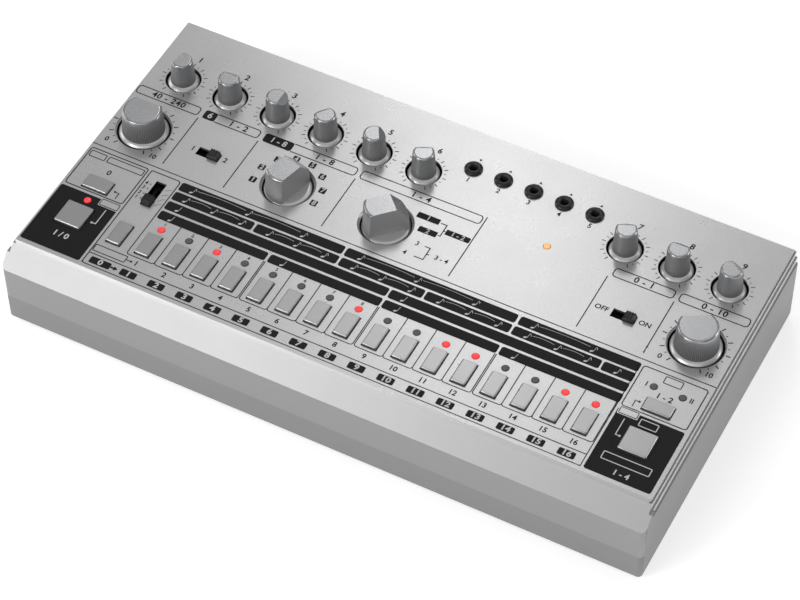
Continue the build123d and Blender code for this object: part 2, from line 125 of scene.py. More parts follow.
def surface(name, color, metallic=0.0, rough=0.5, grain=2600.0, grain_amount=0.06, mottle=60.0, mottle_amount=0.03,
            bump_strength=0.12, bump_distance=0.00006, rough_spread=0.06, coat=0.0, coat_rough=0.1, wear=0.0,
            wear_color=None, specular=None, wave=0.0, groove=None, painted_wall_shade=None, front=None, painted_light_and_shade=None):
    """Painted or moulded surface: fine grain and wide mottling in the colour, roughness that wanders, a fine bump."""
    m, nt, bsdf = material(name)
    tc = nt.nodes.new("ShaderNodeTexCoord").outputs["Object"]
    g = noise(nt, tc, grain, 2.0, 0.6)
    w = noise(nt, tc, mottle, 4.0, 0.55)
    lo = tuple(max(0.0, c * (1 - grain_amount)) for c in color)
    hi = tuple(min(1.0, c * (1 + grain_amount)) for c in color)
    base = ramp(nt, g, 0.35, 0.65, lo, hi)
    m0 = 1 - mottle_amount
    tint = ramp(nt, w, 0.3, 0.7, (m0, m0, m0), (1, 1, 1))
    base = mix(nt, None, base, tint, "MULTIPLY", 1.0)
    if wear > 0:
        geo = nt.nodes.new("ShaderNodeNewGeometry").outputs["Pointiness"]
        edge = maprange(nt, geo, 0.505, 0.56, 0.0, wear)
        base = mix(nt, edge, base, wear_color or tuple(min(1, c * 1.6) for c in color))
    if groove:
        # painted shade: the valleys between the ribs are coloured darker
        at = nt.nodes.new("ShaderNodeAttribute")
        at.attribute_name = "groove"
        base = mix(nt, at.outputs["Fac"], base, groove)
    if painted_wall_shade:
        # painted shade: the cut walls of the wells and openings lie in the dark and are coloured near black
        geo = nt.nodes.new("ShaderNodeNewGeometry")
        sn = nt.nodes.new("ShaderNodeSeparateXYZ")
        link(nt, geo.outputs["True Normal"], sn.inputs[0])
        sp = nt.nodes.new("ShaderNodeSeparateXYZ")
        link(nt, tc, sp.inputs[0])
        ab = nt.nodes.new("ShaderNodeMath")
        ab.operation = "ABSOLUTE"
        link(nt, sp.outputs["X"], ab.inputs[0])
        mul = nt.nodes.new("ShaderNodeMath")
        mul.operation = "MULTIPLY"
        link(nt, maprange(nt, sn.outputs["Z"], 0.2, 0.55, 1.0, 0.0), mul.inputs[0])
        link(nt, maprange(nt, ab.outputs[0], 0.1496, 0.1500, 1.0, 0.0), mul.inputs[1])
        mul2 = nt.nodes.new("ShaderNodeMath")
        mul2.operation = "MULTIPLY"
        link(nt, mul.outputs[0], mul2.inputs[0])
        link(nt, maprange(nt, sp.outputs["Y"], -0.0712, -0.0708, 0.0, 1.0), mul2.inputs[1])
        base = mix(nt, mul2.outputs[0], base, painted_wall_shade)
    if front or painted_light_and_shade:
        geo = nt.nodes.new("ShaderNodeNewGeometry")
        sn = nt.nodes.new("ShaderNodeSeparateXYZ")
        link(nt, geo.outputs["True Normal"], sn.inputs[0])
    if front:
        # the faces that look to the front are coloured darker, close to the case colour
        base = mix(nt, maprange(nt, sn.outputs["Y"], -0.55, -0.66, 0.0, 1.0), base, front)
    if painted_light_and_shade:
        # painted light and shade: the upright outer sides are coloured darker, the upright walls of the ledge steps
        # lighter, the rounded ledge edges bright
        side, step_light, edge = painted_light_and_shade
        sp = nt.nodes.new("ShaderNodeSeparateXYZ")
        link(nt, tc, sp.inputs[0])
        ax = nt.nodes.new("ShaderNodeMath")
        ax.operation = "ABSOLUTE"
        link(nt, sp.outputs["X"], ax.inputs[0])
        an = nt.nodes.new("ShaderNodeMath")
        an.operation = "ABSOLUTE"
        link(nt, sn.outputs["X"], an.inputs[0])
        flat = maprange(nt, an.outputs[0], 0.93, 0.99, 0.0, 1.0)
        outer = maprange(nt, ax.outputs[0], 0.15205, 0.15215, 0.0, 1.0)
        inner = maprange(nt, ax.outputs[0], 0.15205, 0.15215, 1.0, 0.0)
        for where, colour in ((outer, side), (inner, step_light)):
            k = nt.nodes.new("ShaderNodeMath")
            k.operation = "MULTIPLY"
            link(nt, flat, k.inputs[0])
            link(nt, where, k.inputs[1])
            base = mix(nt, k.outputs[0], base, colour)
        # painted highlight: the narrow rounded edges of the side ledges are coloured bright
        up_ = nt.nodes.new("ShaderNodeMath")
        up_.operation = "MULTIPLY"
        link(nt, maprange(nt, an.outputs[0], 0.22, 0.3, 0.0, 1.0), up_.inputs[0])
        link(nt, maprange(nt, sn.outputs["Z"], 0.22, 0.3, 0.0, 1.0), up_.inputs[1])
        edge_highlight = nt.nodes.new("ShaderNodeMath")
        edge_highlight.operation = "MULTIPLY"
        link(nt, up_.outputs[0], edge_highlight.inputs[0])
        link(nt, maprange(nt, ax.outputs[0], 0.1495, 0.1498, 0.0, 1.0), edge_highlight.inputs[1])
        base = mix(nt, edge_highlight.outputs[0], base, edge)
    link(nt, base, bsdf.inputs["Base Color"])
    link(nt, maprange(nt, w, 0.3, 0.7, rough - rough_spread / 2, rough + rough_spread / 2), bsdf.inputs["Roughness"])
    fine = noise(nt, tc, grain * 0.8, 3.0, 0.6)
    nrm = bump(nt, fine, bump_strength, bump_distance)
    if wave > 0:
        slow = noise(nt, tc, 28.0, 2.0, 0.5)
        nrm = bump(nt, slow, wave, 0.0004, nrm)
    link(nt, nrm, bsdf.inputs["Normal"])
    bsdf.inputs["Metallic"].default_value = metallic
    if coat:
        bsdf.inputs["Coat Weight"].default_value = coat
        bsdf.inputs["Coat Roughness"].default_value = coat_rough
    if specular is not None:
        bsdf.inputs["Specular IOR Level"].default_value = specular
    return m


SILVER = (0.50, 0.50, 0.505)
MAT = {
    # panel paint, with painted shade on the cut walls of its wells and openings
    "panel": surface("panel_paint", (0.50, 0.50, 0.503), 0.62, 0.28, grain=2300, grain_amount=0.06, mottle=45,
                     mottle_amount=0.015, bump_strength=0.05, rough_spread=0.02, painted_wall_shade=(0.012, 0.012, 0.012),
                     front=(0.235, 0.235, 0.238)),
    # the case paints carry painted shade on their upright outer sides, painted light on the ledge step walls and
    # painted highlights on the ledge edges
    "upper": surface("case_upper_paint", (0.29, 0.29, 0.293), 0.45, 0.31, grain=2600, grain_amount=0.03, mottle=38,
                     mottle_amount=0.015, bump_strength=0.04, rough_spread=0.02, wave=0.006,
                     painted_light_and_shade=((0.15, 0.15, 0.153), (0.74, 0.74, 0.745), (0.84, 0.84, 0.845))),
    "lower": surface("case_lower_paint", (0.245, 0.245, 0.248), 0.45, 0.33, grain=2600, grain_amount=0.03, mottle=38,
                     mottle_amount=0.015, bump_strength=0.04, rough_spread=0.02, wave=0.006,
                     painted_light_and_shade=((0.16, 0.16, 0.163), (0.245, 0.245, 0.248), (0.35, 0.35, 0.353))),
    "rear": surface("rear_plate_plastic", (0.030, 0.030, 0.032), 0.0, 0.5, grain=2200, grain_amount=0.2, mottle=80,
                    bump_strength=0.3),
    "knob": surface("dial_plastic", (0.40, 0.403, 0.412), 0.78, 0.27, grain=2300, grain_amount=0.045, mottle=120,
                    mottle_amount=0.015, bump_strength=0.022, rough_spread=0.02),
    # the dials' upright side: rougher and less metallic for the ribbing, darker in colour as painted shade, with
    # painted shade in the rib valleys
    "knob_side_shaded": surface("dial_side_plastic_shaded", (0.30, 0.302, 0.308), 0.55, 0.47, grain=2700, grain_amount=0.08,
                         mottle=120, mottle_amount=0.02, bump_strength=0.10, rough_spread=0.03,
                         groove=(0.06, 0.06, 0.062)),
    # painted shade: the slanted pointer facet is a darker copy of the dial plastic
    "knob_facet_shaded": surface("dial_facet_painted_shade", (0.23, 0.231, 0.236), 0.70, 0.33, grain=2700, grain_amount=0.06,
                          mottle=120, mottle_amount=0.015, bump_strength=0.07, rough_spread=0.02),
    # painted light: the selector's upright flanks are a lighter, rougher copy of the dial plastic
    "grip_side_lit": surface("selector_side_plastic_lit", (0.45, 0.452, 0.458), 0.55, 0.47, grain=2700, grain_amount=0.06,
                         mottle=120, mottle_amount=0.02, bump_strength=0.10, rough_spread=0.03),
    # painted light: the selector disc is coloured lighter than the dial top, against the shade of the well and the bar
    "disc": surface("selector_disc_plastic_lit", (0.62, 0.62, 0.63), 0.70, 0.28, grain=2400, grain_amount=0.04,
                    mottle=120, mottle_amount=0.015, bump_strength=0.04, rough_spread=0.02),
    "knob_ring": surface("dial_skirt_plastic", (0.62, 0.62, 0.63), 0.55, 0.32, grain=2400, grain_amount=0.04,
                         mottle=120, mottle_amount=0.015, bump_strength=0.04, rough_spread=0.02, coat=0.2),
    "button": surface("button_plastic", (0.36, 0.36, 0.365), 0.75, 0.28, grain=2400, grain_amount=0.03, mottle=90,
                      mottle_amount=0.015, bump_strength=0.03, rough_spread=0.02),
    "slider": surface("slider_plastic", (0.018, 0.018, 0.019), 0.0, 0.42, grain=2500, grain_amount=0.2, mottle=120,
                      bump_strength=0.2),
    "black_metal": surface("nut_black_metal", (0.010, 0.010, 0.011), 0.2, 0.34, grain=2600, grain_amount=0.12,
                           mottle=140, bump_strength=0.06, coat=0.15, coat_rough=0.2),
    "socket": surface("socket_plastic", (0.014, 0.014, 0.015), 0.0, 0.4, grain=2200, grain_amount=0.2, mottle=150,
                      bump_strength=0.15),
    "contact": surface("contact_metal", (0.62, 0.62, 0.61), 1.0, 0.22, grain=3000, grain_amount=0.06, mottle=200,
                       bump_strength=0.06),
    "steel": surface("screw_steel", (0.42, 0.42, 0.43), 1.0, 0.34, grain=3000, grain_amount=0.1, mottle=200,
                     bump_strength=0.12),
    "gold": surface("contact_gold", (0.78, 0.56, 0.24), 1.0, 0.27, grain=3000, grain_amount=0.06, mottle=200,
                    bump_strength=0.06),
    "rubber": surface("foot_rubber", (0.018, 0.018, 0.018), 0.0, 0.78, grain=1500, grain_amount=0.25, mottle=150,
                      bump_strength=0.4),
    "board": surface("board_laminate", (0.012, 0.075, 0.03), 0.0, 0.38, grain=1400, grain_amount=0.15, mottle=260,
                     mottle_amount=0.25, bump_strength=0.12, coat=0.4),
    "component": surface("component_plastic", (0.022, 0.022, 0.024), 0.0, 0.5, grain=2000, grain_amount=0.2,
                         mottle=140, bump_strength=0.2),
    "ink_black": surface("ink_black", (0.011, 0.011, 0.012), 0.0, 0.46, grain=2300, grain_amount=0.18, mottle=60,
                         mottle_amount=0.08, bump_strength=0.14, specular=0.16),
    "ink_grey": surface("ink_grey", (0.10, 0.10, 0.102), 0.0, 0.46, grain=2300, grain_amount=0.12, mottle=60,
                        bump_strength=0.14),
    "ink_white": surface("ink_white", (0.62, 0.62, 0.62), 0.0, 0.5, grain=2300, grain_amount=0.05, mottle=60,
                         bump_strength=0.14),
    "ink_light": surface("ink_light", (0.50, 0.50, 0.503), 0.62, 0.28, grain=2300, grain_amount=0.06, mottle=45,
                         mottle_amount=0.015, bump_strength=0.05, rough_spread=0.02),
}


def lens(name, color, glow, strength, rough=0.22, rim=None):
    m, nt, bsdf = material(name)
    tc = nt.nodes.new("ShaderNodeTexCoord").outputs["Object"]
    g = noise(nt, tc, 1400, 2.0)
    lo = tuple(c * 0.9 for c in color)
    at = nt.nodes.new("ShaderNodeAttribute")
    at.attribute_name = "groove"
    base = mix(nt, at.outputs["Fac"], ramp(nt, g, 0.3, 0.7, lo, color), rim or tuple(c * 0.45 for c in color))
    link(nt, base, bsdf.inputs["Base Color"])
    link(nt, maprange(nt, g, 0.3, 0.7, rough - 0.03, rough + 0.05), bsdf.inputs["Roughness"])
    link(nt, bump(nt, g, 0.05, 0.00005), bsdf.inputs["Normal"])
    if strength > 0:
        bsdf.inputs["Emission Color"].default_value = (*glow, 1)
        # the light fades towards the rim of the lens
        link(nt, maprange(nt, at.outputs["Fac"], 0.0, 1.0, strength, strength * 0.42), bsdf.inputs["Emission Strength"])
    return m


MAT["led_on"] = lens("lens_red_lit", (0.60, 0.03, 0.03), (1.0, 0.045, 0.05), 1.0)
MAT["led_orange"] = lens("lens_orange_lit", (0.9, 0.45, 0.18), (1.0, 0.40, 0.12), 0.9)
MAT["led_off"] = lens("lens_unlit", (0.13, 0.125, 0.125), (0, 0, 0), 0.0, 0.42)


# ------------------------------------------------------------------ mesh helpers
def finish_object(name, bm, mat, body, sharp=35.0, mats=None, flats=0.0):
    """flats: faces larger than this, in square millimetres, are shaded flat."""
    bmesh.ops.remove_doubles(bm, verts=bm.verts, dist=1e-6)
    bmesh.ops.recalc_face_normals(bm, faces=bm.faces)
    me = bpy.data.meshes.new(name)
    bm.to_mesh(me)
    bm.free()
    for m in mats or [mat]:
        me.materials.append(MAT[m])
    me.shade_smooth()
    me.set_sharp_from_angle(angle=math.radians(sharp))
    if flats:
        for poly in me.polygons:
            if poly.area > flats * MM * MM:
                poly.use_smooth = False
    o = bpy.data.objects.new(name, me)
    scene.collection.objects.link(o)
    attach(o, body)
    return o


def add_lathe(bm, profile, n=96, place=None, radius=None, mat=0, groove=None):
    """Closed surface of revolution about Z. profile is (r, z) in mm from the axis at the bottom to the axis at the top.
    radius(r, z, a) may change a ring's radius round the angle; groove(z, a) fills the vertex attribute of that name."""
    place = place or Matrix.Identity(4)
    layer = None
    if groove:
        layer = bm.verts.layers.float_color.get("groove") or bm.verts.layers.float_color.new("groove")
    rings = []
    for r, z in profile:
        if r < 1e-9:
            rings.append([bm.verts.new(place @ Vector((0, 0, z)))])
        else:
            ring = []
            for i in range(n):
                a = 2 * math.pi * i / n
                rr = radius(r, z, a) if radius else r
                v = bm.verts.new(place @ Vector((rr * math.cos(a), rr * math.sin(a), z)))
                if layer:
                    g = groove(z, a)
                    v[layer] = (g, g, g, 1.0)
                ring.append(v)
            rings.append(ring)
    faces = []
    for a, b in zip(rings, rings[1:]):
        if len(a) == 1 and len(b) == 1:
            continue
        for i in range(n):
            j = (i + 1) % n
            if len(a) == 1:
                faces.append(bm.faces.new((a[0], b[j], b[i])))
            elif len(b) == 1:
                faces.append(bm.faces.new((a[i], a[j], b[0])))
            else:
                faces.append(bm.faces.new((a[i], a[j], b[j], b[i])))
    for f in faces:
        f.material_index = mat
    return faces


def add_ring(bm, profile, n=96, place=None, mat=0):
    """Closed surface of revolution from a closed profile that doesn't touch the axis."""
    place = place or Matrix.Identity(4)
    rings = []
    for r, z in profile:
        rings.append([bm.verts.new(place @ Vector((r * math.cos(2 * math.pi * i / n), r * math.sin(2 * math.pi * i / n), z)))
                      for i in range(n)])
    for k in range(len(rings)):
        a, b = rings[k], rings[(k + 1) % len(rings)]
        for i in range(n):
            j = (i + 1) % n
            bm.faces.new((a[i], a[j], b[j], b[i])).material_index = mat


def arc(cx, cz, r, a0, a1, n):
    """Points of an arc in a profile, angles in degrees."""
    return [(cx + r * math.cos(math.radians(a0 + (a1 - a0) * i / n)), cz + r * math.sin(math.radians(a0 + (a1 - a0) * i / n)))
            for i in range(n + 1)]


def add_prism(bm, poly, z0, z1, place=None, mat=0):
    """Closed prism over a simple polygon of (x, y) points."""
    place = place or Matrix.Identity(4)
    lo = [bm.verts.new(place @ Vector((x, y, z0))) for x, y in poly]
    hi = [bm.verts.new(place @ Vector((x, y, z1))) for x, y in poly]
    faces = [bm.faces.new(hi), bm.faces.new(list(reversed(lo)))]
    n = len(poly)
    for i in range(n):
        j = (i + 1) % n
        faces.append(bm.faces.new((lo[i], lo[j], hi[j], hi[i])))
    for f in faces:
        f.material_index = mat
    return faces


def rounded(x0, x1, y0, y1, r, n=6, corners=(1, 1, 1, 1)):
    """Rounded rectangle, counter-clockwise. corners: front-left, front-right, back-right, back-left."""
    pts = []
    for (cx, cy, a), on in zip(((x0 + r, y0 + r, 180), (x1 - r, y0 + r, 270), (x1 - r, y1 - r, 0), (x0 + r, y1 - r, 90)), corners):
        if on:
            pts += [(cx + r * math.cos(math.radians(a + 90 * i / n)), cy + r * math.sin(math.radians(a + 90 * i / n)))
                    for i in range(n + 1)]
        else:
            ox, oy = {180: (x0, y0), 270: (x1, y0), 0: (x1, y1), 90: (x0, y1)}[a]
            pts.append((ox, oy))
    return pts


def circle(x, y, r, n=24):
    return [(x + r * math.cos(2 * math.pi * i / n), y + r * math.sin(2 * math.pi * i / n)) for i in range(n)]


def case_place(x=0.0, y=0.0, z=0.0, turn=0.0):
    """Local millimetres, turned clockwise by turn degrees about Z, to the row's frame."""
    return Matrix.Translation(W(x, y, z)) @ Matrix.Rotation(math.radians(-turn), 4, "Z") @ Matrix.Scale(MM, 4)


# ------------------------------------------------------------------ print
class Print:
    """A layer of ink: thin closed slabs on the panel."""

    def __init__(self, z0, z1, place=None):
        self.bm = bmesh.new()
        self.z0, self.z1 = z0, z1
        self.place = place or case_place()

    def fill(self, poly):
        add_prism(self.bm, poly, self.z0, self.z1, self.place)

    def box(self, x0, x1, y0, y1, r=0.0):
        self.fill(rounded(x0, x1, y0, y1, r) if r > 0 else [(x0, y0), (x1, y0), (x1, y1), (x0, y1)])

    def line(self, pts, w, closed=False):
        pts = [Vector((p[0], p[1])) for p in pts]
        n = len(pts)
        left, right = [], []
        for i in range(n):
            a = pts[(i - 1) % n] if (closed or i > 0) else None
            b = pts[(i + 1) % n] if (closed or i < n - 1) else None
            d1 = (pts[i] - a).normalized() if a is not None else None
            d2 = (b - pts[i]).normalized() if b is not None else None
            d1 = d1 or d2
            d2 = d2 or d1
            n1, n2 = Vector((-d1.y, d1.x)), Vector((-d2.y, d2.x))
            m = n1 + n2
            m = m.normalized() if m.length > 1e-6 else n1
            k = (w / 2) / max(0.35, m.dot(n1))
            left.append(pts[i] + m * k)
            right.append(pts[i] - m * k)
        lo_l, hi_l, lo_r, hi_r = [], [], [], []
        for side, lo, hi in ((left, lo_l, hi_l), (right, lo_r, hi_r)):
            for p in side:
                lo.append(self.bm.verts.new(self.place @ Vector((p.x, p.y, self.z0))))
                hi.append(self.bm.verts.new(self.place @ Vector((p.x, p.y, self.z1))))
        last = n if closed else n - 1
        for i in range(last):
            j = (i + 1) % n
            self.bm.faces.new((hi_r[i], hi_r[j], hi_l[j], hi_l[i]))
            self.bm.faces.new((lo_r[j], lo_r[i], lo_l[i], lo_l[j]))
            self.bm.faces.new((lo_r[i], lo_r[j], hi_r[j], hi_r[i]))
            self.bm.faces.new((lo_l[j], lo_l[i], hi_l[i], hi_l[j]))
        if not closed:
            self.bm.faces.new((lo_l[0], lo_r[0], hi_r[0], hi_l[0]))
            self.bm.faces.new((lo_r[-1], lo_l[-1], hi_l[-1], hi_r[-1]))

    def frame(self, x0, x1, y0, y1, r, w, corners=(1, 1, 1, 1)):
        self.line(rounded(x0 + w / 2, x1 - w / 2, y0 + w / 2, y1 - w / 2, r, corners=corners), w, closed=True)

    def shape(self, loops):
        """Filled outline with holes in it."""
        cu = bpy.data.curves.new("outline", "CURVE")
        cu.dimensions = "2D"
        cu.fill_mode = "BOTH"
        cu.extrude = (self.z1 - self.z0) / 2
        for loop in loops:
            sp = cu.splines.new("POLY")
            sp.points.add(len(loop) - 1)
            for p, (x, y) in zip(sp.points, loop):
                p.co = (x, y, 0, 1)
            sp.use_cyclic_u = True
        self._take(cu, Matrix.Translation((0, 0, (self.z0 + self.z1) / 2)))

    def text(self, body, x, y, cap, shear=0.04, stretch=1.0, weight=0.0, align="CENTER", turn=0.0, space=1.0):
        """Digits and the like. cap is the height of a capital in mm and (x, y) the middle of the text."""
        cu = bpy.data.curves.new("glyphs", "FONT")
        cu.body = body
        cu.size = cap / 0.70
        cu.shear = shear
        cu.space_character = space
        cu.align_x = align
        cu.align_y = "CENTER"
        cu.offset = weight
        cu.resolution_u = 3
        cu.extrude = (self.z1 - self.z0) / 2
        self._take(cu, Matrix.Translation((x, y, (self.z0 + self.z1) / 2)) @ Matrix.Rotation(math.radians(turn), 4, "Z")
                   @ Matrix.Diagonal((stretch, 1, 1, 1)))

    def _take(self, cu, where):
        o = bpy.data.objects.new("making", cu)
        scene.collection.objects.link(o)
        bpy.context.view_layer.update()
        me = bpy.data.meshes.new_from_object(o)
        me.transform(self.place @ where)
        bpy.data.objects.remove(o)
        bpy.data.curves.remove(cu)
        self.bm.from_mesh(me)
        bpy.data.meshes.remove(me)

    def done(self, name, mat, body="case"):
        bmesh.ops.remove_doubles(self.bm, verts=self.bm.verts, dist=2e-7)
        bmesh.ops.dissolve_degenerate(self.bm, edges=self.bm.edges, dist=1e-7)
        me = bpy.data.meshes.new(name)
        bmesh.ops.recalc_face_normals(self.bm, faces=self.bm.faces)
        self.bm.to_mesh(me)
        self.bm.free()
        me.materials.append(MAT[mat])
        o = bpy.data.objects.new(name, me)
        scene.collection.objects.link(o)
        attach(o, body)
        return o


# ------------------------------------------------------------------ the layout of the controls
SMALL_KNOBS = {
    "knob_accent": (-134.05, 125.7, -81.0), "knob_bass_drum": (-109.7, 125.7, 0.0),
    "knob_snare_drum": (-85.3, 125.7, 90.0), "knob_tom": (-60.9, 125.7, -54.0),
    "knob_cymbal": (-36.5, 125.7, 60.0), "knob_hi_hat": (-12.0, 125.7, -26.0),
    "knob_distortion": (85.2, 125.7, -23.0), "knob_tone": (109.6, 125.7, 0.0), "knob_level": (134.0, 125.7, 34.0),
}
BIG_KNOBS = {"knob_tempo": (-134.4, 91.4, 0.0), "knob_volume": (133.8, 91.3, -30.0)}
SELECTORS = {"selector_instrument": (-61.1, 91.2, 15.0), "selector_mode": (-12.6, 91.2, 45.0)}
STEP_X0, STEP_PITCH, LED_Y = -96.97, 13.795, 43.4
STEP_X = [STEP_X0 + STEP_PITCH * i for i in range(16)]
BUTTONS = {
    "button_start_stop": (-134.89, 33.26, 12.7, 12.7), "button_clear": (-134.89, 53.14, 12.6, 7.0),
    "button_function": (-111.77, 33.14, 6.7, 12.2), "button_pattern_group": (133.67, 53.08, 12.6, 6.3),
    "button_write_next": (133.49, 33.2, 12.8, 12.6),
}
for i in range(16):
    BUTTONS["button_step_%02d" % (i + 1)] = (-97.42 + 13.808 * i, 33.14, 6.7, 12.2)
STATUS_LEDS = [(-134.4, 43.5), (127.3, 62.8), (140.3, 62.8), (55.0, 111.3)]
PANEL_JACKS = [(6.95 + 14.7 * i, 136.8) for i in range(5)]
VOICE_JACKS = [(-104.0 + 14.0 * i, 18.8) for i in range(8)]
MAIN_JACK = (-128.0, 22.6)
MIDI = [(28.0, 22.8), (54.0, 22.8)]
USB, DC, POWER = (79.0, 19.2), (101.0, 19.8), (124.0, 20.0)


# ------------------------------------------------------------------ dials
def shaft_piece(bm, place, top):
    add_lathe(bm, [(0, -12.1), (2.9, -12.1), (2.98, -12.0), (2.98, top), (0, top)], 48, place)


def cut_facet(bm, faces_before, place, chord, k, h, width):
    """Slices the slanted pointer facet off the knob and rounds its edges."""
    co = place @ Vector((0, chord, h))
    rot = place.to_3x3().normalized()
    no = (rot @ Vector((0, k, 1))).normalized()
    geom = list(bm.verts) + list(bm.edges) + list(bm.faces)
    res = bmesh.ops.bisect_plane(bm, geom=geom, dist=1e-7, plane_co=co, plane_no=no, clear_outer=True)
    cut = [e for e in res["geom_cut"] if isinstance(e, bmesh.types.BMEdge)]
    made = bmesh.ops.edgeloop_fill(bm, edges=cut)
    # the facet takes the darker copy of the dial plastic, painted shade
    for f in made["faces"]:
        f.material_index = 2
    # the many slivers of the flat top become one face
    bm.normal_update()
    top_n = (rot @ Vector((0, 0, 1))).normalized()
    bmesh.ops.dissolve_faces(bm, faces=[f for f in bm.faces if f.normal.dot(top_n) > 0.9999])
    edges = set()
    for f in bm.faces:
        if f.material_index == 2:
            edges.update(f.edges)
    bmesh.ops.bevel(bm, geom=list(edges), offset=width * MM, offset_type="OFFSET", segments=3, profile=0.5,
                    affect="EDGES", clamp_overlap=True, material=0)


def round_dial(name, x, y, turn, r_top, r_base, h, r_skirt, chord, k, ribs, rib_depth, fillet, edge, n, shade):
    place = case_place(x, y, TOP, turn)
    body = bmesh.new()
    slope = (r_base - r_top) / h

    def r_at(z):
        return r_base - slope * z

    prof = [(0, -0.2), (r_base - 0.6, -0.2), (r_base, 0.0)]
    steps = 14
    zt = h - fillet
    for i in range(1, steps + 1):
        z = zt * i / steps
        prof.append((r_at(z), z))
    rt = r_at(zt)
    prof += arc(rt - fillet, zt, fillet, 0, 90, 7)[1:]
    prof += [(rt - fillet - 0.5, h), ((rt - fillet) * 0.5, h), (0, h)]

    def depth(z, a):
        up = max(0.0, min(1.0, z / zt))
        fade = 1.0 - max(0.0, min(1.0, (up - 0.62) / 0.33)) ** 1.5 if ribs > 60 else max(0.0, 1.0 - up / 0.28)
        return 0.0 if z > zt else fade * (0.5 - 0.5 * math.cos(ribs * a)) ** 1.6

    def rib(r, z, a):
        if rib_depth <= 0 or z > zt or z < -0.1:
            return r
        return r - rib_depth * depth(z, a)

    # painted shade in the rib valleys, its strength given by shade
    add_lathe(body, prof, n, place, rib, groove=lambda z, a: shade * depth(z, a))
    cut_facet(body, None, place, chord, k, h, edge)
    # the upright side has a duller grain than the top; its darker colour is painted shade
    back_to = place.inverted()
    for f in body.faces:
        c = back_to @ f.calc_center_median()
        if f.material_index != 2 and c.z < zt - 0.02 and math.hypot(c.x, c.y) > r_at(max(c.z, 0.0)) - rib_depth - 0.12:
            f.material_index = 1
    o = finish_object(name + "_cap", body, "knob", name, sharp=50,
                      mats=["knob", "knob_side_shaded", "knob_facet_shaded"], flats=3.0)
    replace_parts(o, name)
    ring = bmesh.new()
    s = r_skirt
    prof = [(0, -1.9), (s - 0.35, -1.9)] + arc(s - 0.3, -1.6, 0.3, -90, 0, 3)[1:]
    prof += arc(s - 0.45, -1.30, 0.45, 0, 62, 5)
    prof += [(r_base + 0.95, -0.33 - 0.0), (r_base + 0.30, -0.02), (r_base + 0.02, 0.16), (r_base - 0.4, 0.2), (0, 0.2)]
    add_lathe(ring, prof, 128, place)
    shaft_piece(ring, place, -1.8)
    finish_object(name + "_skirt", ring, "knob_ring", name, sharp=60)


for name, (x, y, a) in SMALL_KNOBS.items():
    round_dial(name, x, y, a, 4.8, 5.6, 12.8, 7.25, 2.1, 0.867, 44, 0.10, 1.05, 0.26, 264, 0.35)
for name, (x, y, a) in BIG_KNOBS.items():
    round_dial(name, x, y, a, 8.8, 9.7, 12.4, 11.2, 5.5, 1.30, 76, 0.24, 1.25, 0.28, 456, 0.55)


def selector(name, x, y, turn):
    place = case_place(x, y, TOP, turn)
    h, fil = 12.8, 1.2
    bar = bmesh.new()
    slope = (10.3 - 9.6) / 14.4
    prof = [(0, -1.6), (10.3, -1.6)]
    zt = h - fil
    for i in range(1, 13):
        z = -1.6 + (zt + 1.6) * i / 12
        prof.append((10.3 - slope * (z + 1.6), z))
    rt = prof[-1][0]
    prof += arc(rt - fil, zt, fil, 0, 90, 8)[1:]
    prof += [(5.0, h), (0, h)]
    add_lathe(bar, prof, 160, place)
    rot = place.to_3x3().normalized()

    def cut(co, no):
        res = bmesh.ops.bisect_plane(bar, geom=list(bar.verts) + list(bar.edges) + list(bar.faces), dist=1e-7,
                                     plane_co=place @ Vector(co), plane_no=(rot @ Vector(no)).normalized(),
                                     clear_outer=True)
        bmesh.ops.edgeloop_fill(bar, edges=[e for e in res["geom_cut"] if isinstance(e, bmesh.types.BMEdge)])

    for side in (-1, 1):
        # the flanks lean in a little towards the top
        cut((side * 5.1, 0, -1.6), (side, 0, 0.0104))
    cut((0, 3.5, h), (0, 1.2, 1))
    # the many slivers of the flat top become one face
    bar.normal_update()
    top_n = (rot @ Vector((0, 0, 1))).normalized()
    flat = [f for f in bar.faces if f.normal.dot(top_n) > 0.9999]
    bmesh.ops.dissolve_faces(bar, faces=flat)
    bar.normal_update()
    sharp = [e for e in bar.edges if len(e.link_faces) == 2 and e.calc_face_angle(0) > math.radians(24)]
    bmesh.ops.bevel(bar, geom=sharp, offset=0.62 * MM, offset_type="OFFSET", segments=4, profile=0.5,
                    affect="EDGES", clamp_overlap=True)
    # the upright flanks take the lighter copy of the dial plastic, painted light
    back_to = place.inverted()
    for f in bar.faces:
        c = back_to @ f.calc_center_median()
        n = rot.inverted() @ f.normal
        if abs(n.z) < 0.2 and c.z < zt:
            f.material_index = 1
    o = finish_object(name + "_grip", bar, "knob", name, sharp=42, mats=["knob", "grip_side_lit"],
                      flats=3.0)
    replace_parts(o, name)
    # the disc is coloured lighter than the dial top: painted light
    disc = bmesh.new()
    prof = [(0, -2.4), (10.7, -2.4), (10.84, -2.33), (10.9, -2.2), (10.87, -2.05), (10.76, -1.82), (10.56, -1.6),
            (10.3, -1.42), (10.0, -1.28), (9.65, -1.18), (9.25, -1.12), (8.8, -1.1), (0, -1.1)]
    add_lathe(disc, prof, 160, place)
    shaft_piece(disc, place, -2.2)
    finish_object(name + "_base", disc, "disc", name, sharp=60)


for name, (x, y, a) in SELECTORS.items():
    selector(name, x, y, a)


